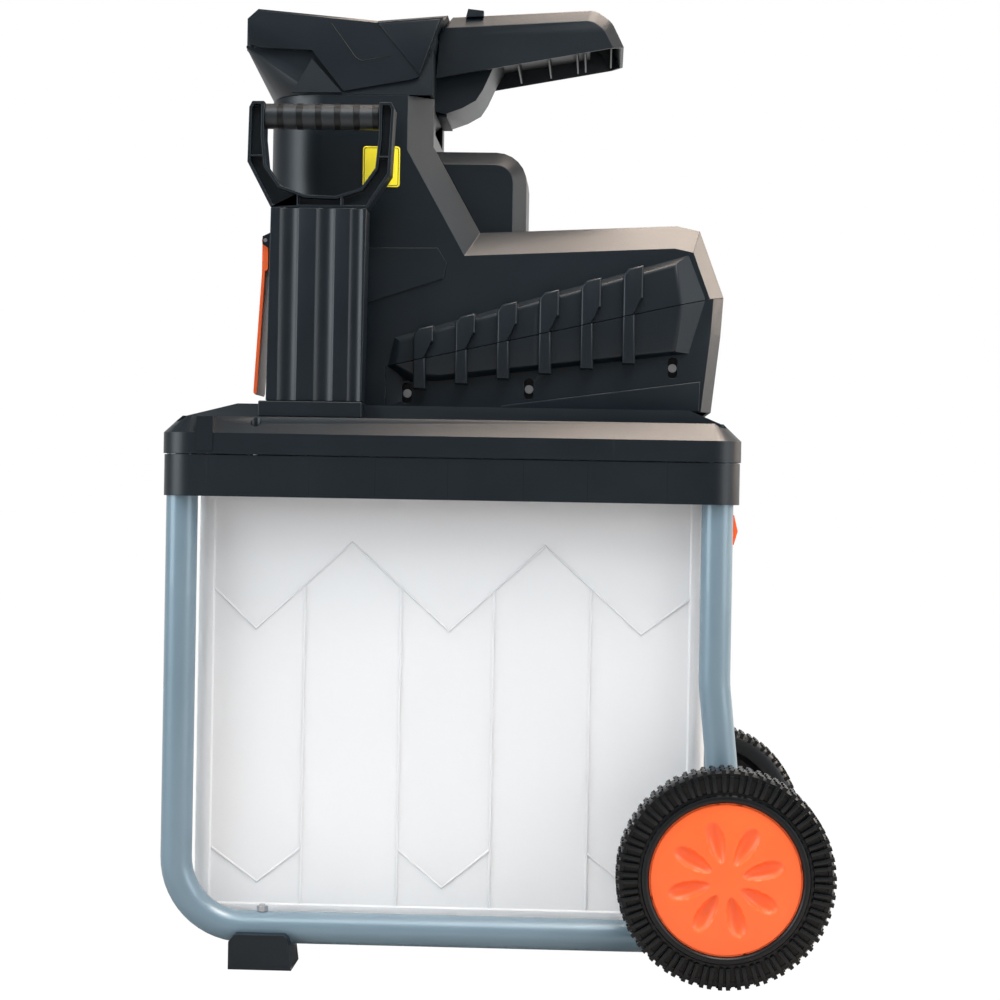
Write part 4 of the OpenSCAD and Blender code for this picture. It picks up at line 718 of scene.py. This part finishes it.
# %% Belt and ribs
SEAM_FROM, SEAM_TO = (-118.0, 594.3), (222.0, 670.3)
BELT_FACE, BELT_SOFT = 112.0, 2.5
RIB_FACE, RIB_SOFT = 117.0, 2.2
RIB_FROM, RIB_PITCH, RIB_COUNT = -89.3, 41.9, 6
# Reach of the first rib above and below the seam, and how much each next one gains
RIB_TOP, RIB_TOP_GAIN, RIB_LOW, RIB_LOW_GAIN = 31, 3.2, 29, 3.7
UPPER_SEAM, LOWER_SEAM = 0.2, -0.6


def on_seam(points):
    rise = (SEAM_TO[1] - SEAM_FROM[1]) / (SEAM_TO[0] - SEAM_FROM[0])
    return [(x, SEAM_FROM[1] + (x - SEAM_FROM[0]) * rise + h) for x, h in points]


def belt_outlines(up):
    if up:
        foot = (-116, UPPER_SEAM), (204, UPPER_SEAM), (186, 49), (-110, 28)
        face = (-108, UPPER_SEAM), (178, UPPER_SEAM), (172, 41), (-103, 22)
    else:
        foot = (204, LOWER_SEAM), (-116, LOWER_SEAM), (-93, -21), (-64, -26), (188, -51)
        face = (178, LOWER_SEAM), (-108, LOWER_SEAM), (-89, -15), (-63, -20), (172, -45)
    return on_seam(foot), on_seam(face)


def rib_outline(up, i):
    x = RIB_FROM + RIB_PITCH * i
    top, low = RIB_TOP + RIB_TOP_GAIN * i, RIB_LOW + RIB_LOW_GAIN * i
    if up:
        steps = (0, UPPER_SEAM), (12, UPPER_SEAM), (12, 9), (20, 14), (20, top), (5, top), (0, top - 5)
    else:
        steps = (12, LOWER_SEAM), (0, LOWER_SEAM), (0, -low), (13, -low - 3)
    return on_seam([(x + dx, h) for dx, h in steps])


for half in ("upper", "lower"):
    shape = bmesh.new()
    up = half == "upper"
    foot, face = belt_outlines(up)
    for sign in (-1, 1):
        inner = sign * (SIDE_FACE - SINK)
        raised(shape, foot, inner, sign * BELT_FACE, BELT_SOFT, True, face)
        for i in range(RIB_COUNT):
            raised(shape, rib_outline(up, i), inner, sign * RIB_FACE, RIB_SOFT, True)
    finish_shape(shape, "belt_" + half, "machine", "black_plastic")
print("belt halves with", RIB_COUNT, "ribs a side")

# %% [markdown]
# ## Small mouldings
# The last plastic details are too fine for the solids: the plinth under the belt, the
# crease on the hopper cheeks, the tab on the lip, the flat facet at the front corner of
# the hopper, the ribs inside the rear lip, the serrated strip under the chute and the
# blank sticker with its rounded corners. They could be cut into the shells, but thin
# plates and blocks that stand on them leave the shells simple.

# %% Plates
PLINTH = [(0, 554), (198, 554), (199, 584), (0, 557)]
CHEEK_CREASE = [(-131, 939.5), (-68.5, 945), (-89, 888.5)]
LIP_TAB = [(-45, 955), (-27, 956), (-27, 961.5), (-43, 963.3)]
CHEEK_FACE, PLINTH_RISE, CREASE_RISE, PLATE_SOFT = 106.0, 2.4, 1.2, 1.0
TAB_FROM, TAB_TO, TAB_SOFT = -66, -56, 0.8

shape = bmesh.new()
for sign in (-1, 1):
    raised(shape, PLINTH, sign * (SIDE_FACE - SINK), sign * (SIDE_FACE + PLINTH_RISE), PLATE_SOFT)
    raised(shape, CHEEK_CREASE, sign * (CHEEK_FACE - SINK), sign * (CHEEK_FACE + CREASE_RISE), PLATE_SOFT)
raised(shape, LIP_TAB, TAB_FROM, TAB_TO, TAB_SOFT)
finish_shape(shape, "side_plates", "machine", "black_plastic")

# %% Corner facets
CORNER_FACET = [(-198, 904.5), (-217, 869.5), (-167, 870)]
# Distance from the middle of the machine to the facet's back and to its three front corners
FACET_BACK, FACET_FRONT = 101.0, (103.0, 106.6, 106.2)

shape = bmesh.new()
for sign in (-1, 1):
    backs = [(x, sign * FACET_BACK, z) for x, z in CORNER_FACET]
    prism(shape, backs, [(x, sign * y, z) for (x, z), y in zip(CORNER_FACET, FACET_FRONT)])
finish_shape(shape, "corner_facets", "machine", "black_plastic")
print("plates and facets on both sides")

# %% Lip ribs and teeth
# Each rib inside the lip: where it stands and how high it reaches
LIP_RIBS = [(8.8, 921), (40.3, 926.2), (69.1, 931), (77.3, 932.3), (104, 940)]
LIP_RIB_HALF, LIP_RIB_LONG, LIP_RIB_GAP = 0.8, 57.0, 1.2
# The underside of the lip: where it starts, its height there and its slope
LIP_FRONT, LIP_LOW, LIP_SLOPE = -74.8, 891.5, 0.1825
TEETH, TEETH_FROM, TEETH_PITCH, TOOTH_HALF = 16, -46.5, 6.2, 1.7
TOOTH_FRONT, TOOTH_REAR, TOOTH_LOW, TOOTH_TOP = -74, -64, 854.8, 859
BLOCK_SOFT = 0.3


def lip_bottom(x):
    return LIP_LOW + LIP_SLOPE * (x - LIP_FRONT)


def block(shape, low, high):
    outline = [(low[0], low[2]), (high[0], low[2]), (high[0], high[2]), (low[0], high[2])]
    raised(shape, outline, low[1], high[1], BLOCK_SOFT)


shape = bmesh.new()
for x, top in LIP_RIBS:
    block(shape, (x - LIP_RIB_HALF, LIP_RIB_LONG, lip_bottom(x) + LIP_RIB_GAP),
          (x + LIP_RIB_HALF, -LIP_RIB_LONG, top))
for k in range(TEETH):
    y = TEETH_FROM + TEETH_PITCH * k
    block(shape, (TOOTH_FRONT, y + TOOTH_HALF, TOOTH_LOW), (TOOTH_REAR, y - TOOTH_HALF, TOOTH_TOP))
finish_shape(shape, "lip_ribs", "machine", "black_plastic")
print("ribs:", len(LIP_RIBS), "teeth:", TEETH)

# %% Sticker
STICKER_CORNER, STICKER_LINE, STICKER_SOFT = 3.0, 1.6, 0.25
CORNER_STEPS = 4


def rounded_rectangle(low, high, inset, r):
    corners = ((high[0] - inset, low[1] + inset, -90), (high[0] - inset, high[1] - inset, 0),
               (low[0] + inset, high[1] - inset, 90), (low[0] + inset, low[1] + inset, 180))
    points = []
    for x, z, start in corners:
        mx = x - r if start in (-90, 0) else x + r
        mz = z + r if start in (-90, 180) else z - r
        for step in range(CORNER_STEPS + 1):
            a = math.radians(start + 90 / CORNER_STEPS * step)
            points.append((mx + r * math.cos(a), mz + r * math.sin(a)))
    return points


low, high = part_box("side_sticker")
sheet = (low.x / MM, low.z / MM), (high.x / MM, high.z / MM)
shape = bmesh.new()
raised(shape, rounded_rectangle(*sheet, 0, STICKER_CORNER), high.y / MM, low.y / MM, STICKER_SOFT)
finish_shape(shape, "blank_sticker", body_of["side_sticker"], "yellow_film", "side_sticker")
print("sticker corners:", sheet)


# %% [markdown]
# ## Beads
# Thin lines that stand on a face are beads swept along a path: the border line of the
# sticker, the line on the hopper cheek, the flow marks of the skirt, and the zigzag and
# upright lines on the walls of the box. They could be painted on, but a real bead catches
# the light as the camera moves. The cheek line and the flow marks take the blacker, less
# glossy plastic of the wheels, so they show as dark lines on the shell. On the cheek that
# dark line is painted shade: it stands in for the shade that falls in the crease there.

# %% Beads
BEAD_SIDES, BEAD_SHARP = 8, math.radians(50)


def beads(name, paths, radius, body, slot, both=True):
    if both:
        paths = paths + [[(x, -y, z) for x, y, z in path] for path in paths]
    paths = [[(x * MM, y * MM, z * MM) for x, y, z in path] for path in paths]
    mesh = sweep_mesh(paths, radius * MM, BEAD_SIDES, FINISH[slot])
    mesh.shade_smooth()
    mesh.set_sharp_from_angle(angle=BEAD_SHARP)
    hand_over(link_mesh(name, mesh), body, slot)


# %% Lines on the shells
STICKER_BEAD, CHEEK_BEAD, MARK_BEAD = 0.3, 0.5, 0.6
CHEEK_LINE = [(-178.6, 939.5), (-152.8, 904.7), (-146.9, 902.1), (-116.6, 907.7)]
CHEEK_LINE_SINK = 0.2
SKIRT_MARKS = (-284, -252.3, -183.6, -118.9, -47.9, 25.9, 88.3, 165.6)
SKIRT_FACE, MARK_LOW, MARK_TOP = -188.5, 463, 500

border = rounded_rectangle(*sheet, STICKER_LINE, STICKER_CORNER - 1)
border = [(x, low.y / MM, z) for x, z in border + border[:1]]
beads("sticker_line", [border], STICKER_BEAD, "machine", "black_plastic", both=False)
cheek = [(x, -CHEEK_FACE + CHEEK_LINE_SINK, z) for x, z in CHEEK_LINE]
# Painted shade: the cheek bead takes the darker, less glossy wheel plastic in place of the shade in the
# cheek crease
beads("cheek_line", [cheek], CHEEK_BEAD, "machine", "wheel_plastic")
marks = [[(x, SKIRT_FACE, MARK_LOW), (x, SKIRT_FACE, MARK_TOP)] for x in SKIRT_MARKS]
beads("skirt_marks", marks, MARK_BEAD, "machine", "wheel_plastic")
print("flow marks a side:", len(marks))

# %% Lines on the box
PANEL_Y, BOX_BEAD, UPRIGHT_LOW = -143.3, 1.5, 57
ZIGZAG = [(-281, 369), (-239, 330), (-144.6, 417), (-46.7, 331), (47, 417), (143.4, 331), (190.5, 366.5)]
UPRIGHTS = [(-190.7, 373), (-95, 373), (-2.7, 371), (93.3, 374)]
LOW_VEES = [[(-280.3, 111), (-234.4, 78), (-191.5, 112)], [(-94.5, 113), (-50, 76), (-3.2, 114)],
            [(93.8, 113), (140, 76), (187, 114)]]

lines = [ZIGZAG] + LOW_VEES + [[(x, z), (x, UPRIGHT_LOW)] for x, z in UPRIGHTS]
beads("box_lines", [[(x, PANEL_Y, z) for x, z in path] for path in lines], BOX_BEAD, "box", "box_plastic")
print("bead lines on the box:", len(lines))

# %% [markdown]
# ## The bent tube frame
# Each side of the frame is one steel tube bent three times: down the front leg, round
# under the box, up behind the axle with a slight lean, and upright again below the deck.
# A row of cylinders would show its joints at the bends, so one round section is swept along
# a path, which is written from the same few sizes that a tube bender would be given.

# %% Frame tubes
TUBE_R, BEND_R, LEAN_R = 15.5 * MM, 68 * MM, 90 * MM
LEAN, LEAN_Z = math.radians(6), 290 * MM
BEND_PAST_AXLE = 7.6 * MM
BEND_STEPS, LEAN_STEPS, TUBE_SIDES, TUBE_SHARP = 14, 4, 40, math.radians(40)


def arc(centre, radius, start, end, steps):
    return [(centre[0] + radius * math.cos(a), centre[1] + radius * math.sin(a))
            for a in (start + (end - start) * i / steps for i in range(steps + 1))]


def frame_path(node):
    low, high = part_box(node)
    axle_low, axle_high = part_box("axle")
    side = (low.y + high.y) / 2
    front = low.x + TUBE_R
    bend_z = low.z + TUBE_R + BEND_R
    rear_bend = (axle_low.x + axle_high.x) / 2 + BEND_PAST_AXLE - BEND_R
    foot_of_leg = (rear_bend + BEND_R * math.cos(LEAN), bend_z + BEND_R * math.sin(LEAN))
    lean_start = LEAN_Z - LEAN_R * math.sin(LEAN)
    run = (lean_start - foot_of_leg[1]) * math.tan(LEAN)
    rear = foot_of_leg[0] - run - LEAN_R * (1 - math.cos(LEAN))
    flat = [(front, high.z)]
    flat += arc((front + BEND_R, bend_z), BEND_R, math.pi, 1.5 * math.pi, BEND_STEPS)
    flat += arc((rear_bend, bend_z), BEND_R, 1.5 * math.pi, 2 * math.pi + LEAN, BEND_STEPS)
    flat += arc((rear + LEAN_R, LEAN_Z), LEAN_R, math.pi + LEAN, math.pi, LEAN_STEPS)
    flat += [(rear, high.z)]
    return [(x, side, z) for x, z in flat]


for side in ("near", "far"):
    node = "frame_tube_" + side
    mesh = sweep_mesh([frame_path(node)], TUBE_R, TUBE_SIDES, tube_coat)
    mesh.shade_smooth()
    mesh.set_sharp_from_angle(angle=TUBE_SHARP)
    hand_over(link_mesh("bent_tube_" + side, mesh), body_of[node], slot_of[node], node)
print("tubes swept")

# %% [markdown]
# ## Wheels
# The wheel is one blow-moulded ring: a smooth rim, paired ribs on the outer sidewall and
# lugs in staggered rows over the tread. The ring is a profile spun round the axle, and
# the ribs and lugs come from the block ring tree, so their count and pitch stay exact.

# %% Wheel helpers
# The wheel's section: radius and distance outwards, in mm, with the inner end of the hub at -2
WHEEL_PROFILE = [(6.1, -2), (18, -2), (18, 20), (76, 20), (81.5, 3), (83, 1.2), (85, 0.9), (88, 1.6),
                 (97, 2), (101.4, 5), (103, 9), (103, 41), (101.4, 44.6), (97.5, 45), (97, 44),
                 (84.2, 43.6), (83.6, 46), (81, 46.4), (79.8, 48.4), (77.5, 49.4), (75.6, 49.2),
                 (74, 48), (73.2, 46), (73.2, 38), (66, 38), (66, 26), (18, 26), (18, 32), (6.1, 32)]
SPIN_STEPS = 96
HUB_PROUD = 2 * MM


def polar(shape, r, s, a):
    return shape.verts.new((r * MM * math.cos(a), s * MM, r * MM * math.sin(a)))


def spin(profile, steps, shape=None):
    shape = shape or bmesh.new()
    rings = []
    for k in range(steps):
        a = 2 * math.pi * k / steps
        rings.append([polar(shape, r, s, a) for r, s in profile])
    count = len(profile)
    for k in range(steps):
        here, there = rings[k], rings[(k + 1) % steps]
        for i in range(count):
            j = (i + 1) % count
            shape.faces.new((here[i], here[j], there[j], there[i]))
    return shape


def set_on_axle(shape, wheel, sign):
    low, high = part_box(wheel)
    axle_low, axle_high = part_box("axle")
    centre = (axle_low + axle_high) / 2
    inner = high.y if sign < 0 else low.y
    at = Vector((centre.x, inner + sign * HUB_PROUD, centre.z))
    for v in shape.verts:
        v.co = Vector((at.x + v.co.x, at.y + sign * v.co.y, at.z + v.co.z))


# %% Wheels
RIB_PAIRS, PAIR_TURN = 36, math.radians(2.1)
WALL_RIB, WALL_RIB_R, WALL_RIB_OUT, WALL_RIB_SOFT = (3.9, 6.8, 15.6), 91.6, 46.4, 0.5
LUG_LONG, LUG_TALL, LUG_R = 3.9, 5.6, 102
# Each tread row: middle and width across the wheel, in mm, and whether it is staggered
TREAD_ROWS = [(43.4, 8.4, 0), (33.6, 8, 1), (25, 6.4, 0), (16.4, 8, 1), (6.6, 8.4, 0)]


def soft_blocks(mesh, radius):
    shape = bmesh.new()
    shape.from_mesh(mesh)
    bmesh.ops.bevel(shape, geom=shape.edges, offset=radius, segments=2, profile=0.5, affect="EDGES")
    shape.to_mesh(mesh)
    shape.free()
    return mesh


def wheel_blocks(size, radius, out, turn):
    return ring_mesh(Count=RIB_PAIRS, Radius=radius * MM, Shift=out * MM, Turn=turn,
                     Size=tuple(v * MM for v in size), Finish=wheel_black)


def build_wheel(side, sign):
    node = "wheel_" + side
    shape = spin(WHEEL_PROFILE, SPIN_STEPS)
    half_pitch = math.pi / RIB_PAIRS
    for turn in (-PAIR_TURN, PAIR_TURN):
        ribs = wheel_blocks(WALL_RIB, WALL_RIB_R, WALL_RIB_OUT, turn)
        shape.from_mesh(soft_blocks(ribs, WALL_RIB_SOFT * MM))
        for out, wide, stagger in TREAD_ROWS:
            lug = (LUG_LONG, wide, LUG_TALL)
            shape.from_mesh(wheel_blocks(lug, LUG_R, out, turn + stagger * half_pitch))
    set_on_axle(shape, node, sign)
    mesh = settle(shape, "treaded_" + node)
    mesh.materials.clear()
    mesh.materials.append(wheel_black)
    hand_over(link_mesh("treaded_" + node, mesh), body_of[node], slot_of[node], node)


build_wheel("near", -1)
build_wheel("far", 1)

# %% [markdown]
# ## Hub caps
# The cap is a shallow orange dome with eight petal hollows pressed into it and small
# snap notches round its rim. A polar grid is the natural mesh for it: every ring is a
# radius, every spoke an angle, and the hollows are a formula on the two.

# %% Hub caps
CAP_R, CAP_RISE, CAP_EDGE = 73.0, 3.9, 46.0
CAP_SPOKES, CAP_SHARP = 192, 40
CAP_RADII = [1.5 * i for i in range(1, 48)] + [71.3, 72.1, CAP_R]
# The hidden side of the cap, from the rim inwards: radius and distance outwards
CAP_BACK = [(CAP_R, 39.0), (CAP_R - 3.5, 39.0), (CAP_R - 3.5, 41.0), (30, 41.5)]
PETALS, PETAL_TURN = 8, math.radians(15)
PETAL_MID, PETAL_HALF, PETAL_WIDE, PETAL_DEEP = 36.5, 19.5, 8.8, 5.6
PETAL_SHARE, PETAL_TAPER, PETAL_BOWL = 0.92, 0.18, 0.6
RIM_WIDE, RIM_STEP = 1.6, 0.9
NOTCHES = [math.radians(a) for a in (98, 80, 10, 195, 285)]
NOTCH_HALF, NOTCH_DEEP = 0.022, 2.2


def petal_depth(r, a):
    k = round((a - PETAL_TURN) / (2 * math.pi / PETALS))
    off = a - PETAL_TURN - k * 2 * math.pi / PETALS
    u = (r * math.cos(off) - PETAL_MID) / PETAL_HALF
    v = r * math.sin(off) / (PETAL_WIDE * (PETAL_SHARE + PETAL_TAPER * u))
    return PETAL_DEEP * max(0.0, 1 - u * u - v * v) ** PETAL_BOWL


def cap_height(r, a):
    s = CAP_EDGE + CAP_RISE * (1 - (r / CAP_R) ** 2) - petal_depth(r, a)
    if r > CAP_R - RIM_WIDE:
        s -= RIM_STEP
        notch = min(abs((a - n + math.pi) % (2 * math.pi) - math.pi) for n in NOTCHES)
        s -= NOTCH_DEEP if notch < NOTCH_HALF else 0
    return s


def build_cap(side, sign):
    node = "hub_cap_" + side
    turns = [2 * math.pi * k / CAP_SPOKES for k in range(CAP_SPOKES)]
    shape = bmesh.new()
    centre = polar(shape, 0, cap_height(0, 0), 0)
    rings = [[polar(shape, r, cap_height(r, a), a) for a in turns] for r in CAP_RADII]
    rings += [[polar(shape, r, s, a) for a in turns] for r, s in CAP_BACK]
    back = polar(shape, 0, CAP_BACK[-1][1], 0)
    for k in range(CAP_SPOKES):
        j = (k + 1) % CAP_SPOKES
        shape.faces.new((centre, rings[0][k], rings[0][j]))
        for a, b in zip(rings, rings[1:]):
            shape.faces.new((a[k], b[k], b[j], a[j]))
        shape.faces.new((rings[-1][k], back, rings[-1][j]))
    set_on_axle(shape, "wheel_" + side, sign)
    mesh = settle(shape, "petal_cap_" + side, CAP_SHARP)
    mesh.materials.append(orange_shell)
    hand_over(link_mesh("petal_cap_" + side, mesh), body_of[node], slot_of[node], node)


build_cap("near", -1)
build_cap("far", 1)
print("caps with", PETALS, "petals")

# %% [markdown]
# ## Banded grip
# The plunger grip is a soft sleeve round the rod of the handle, with six blacker bands set
# into it that stand out by a hair. Both are profiles spun like the wheel's, because that
# keeps them true round the rod.

# %% Grip
GRIP_BORE, SLEEVE_R, BAND_R = 7.05, 12.6, 13.0
GRIP_EDGE, GRIP_STEPS = 0.5, 48
BANDS, BAND_SHARE, BAND_DEEP, BAND_GAP = 6, 0.38, 1.5, 0.4

low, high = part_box("plunger_grip")
rod = Vector((low.x, (low.y + high.y) / 2, (low.z + high.z) / 2))
pitch = (high.x - low.x) / MM / BANDS


def ring_profile(bore, radius, a, b):
    edge = radius - GRIP_EDGE
    return [(bore, a), (edge, a), (radius, a + GRIP_EDGE), (radius, b - GRIP_EDGE), (edge, b), (bore, b)]


def on_rod(profiles):
    shape = bmesh.new()
    for profile in profiles:
        spin(profile, GRIP_STEPS, shape)
    for v in shape.verts:
        v.co = rod + Vector((v.co.y, v.co.x, v.co.z))
    return shape


sleeve = on_rod([ring_profile(GRIP_BORE, SLEEVE_R, 0, BANDS * pitch)])
finish_shape(sleeve, "grip_sleeve", body_of["plunger_grip"], "grip_rubber", "plunger_grip")
bands = on_rod([ring_profile(SLEEVE_R - BAND_DEEP, BAND_R, (k - BAND_SHARE) * pitch, k * pitch - BAND_GAP)
                for k in range(1, BANDS + 1)])
finish_shape(bands, "grip_bands", body_of["plunger_grip"], "wheel_plastic")
print("grip bands:", BANDS)
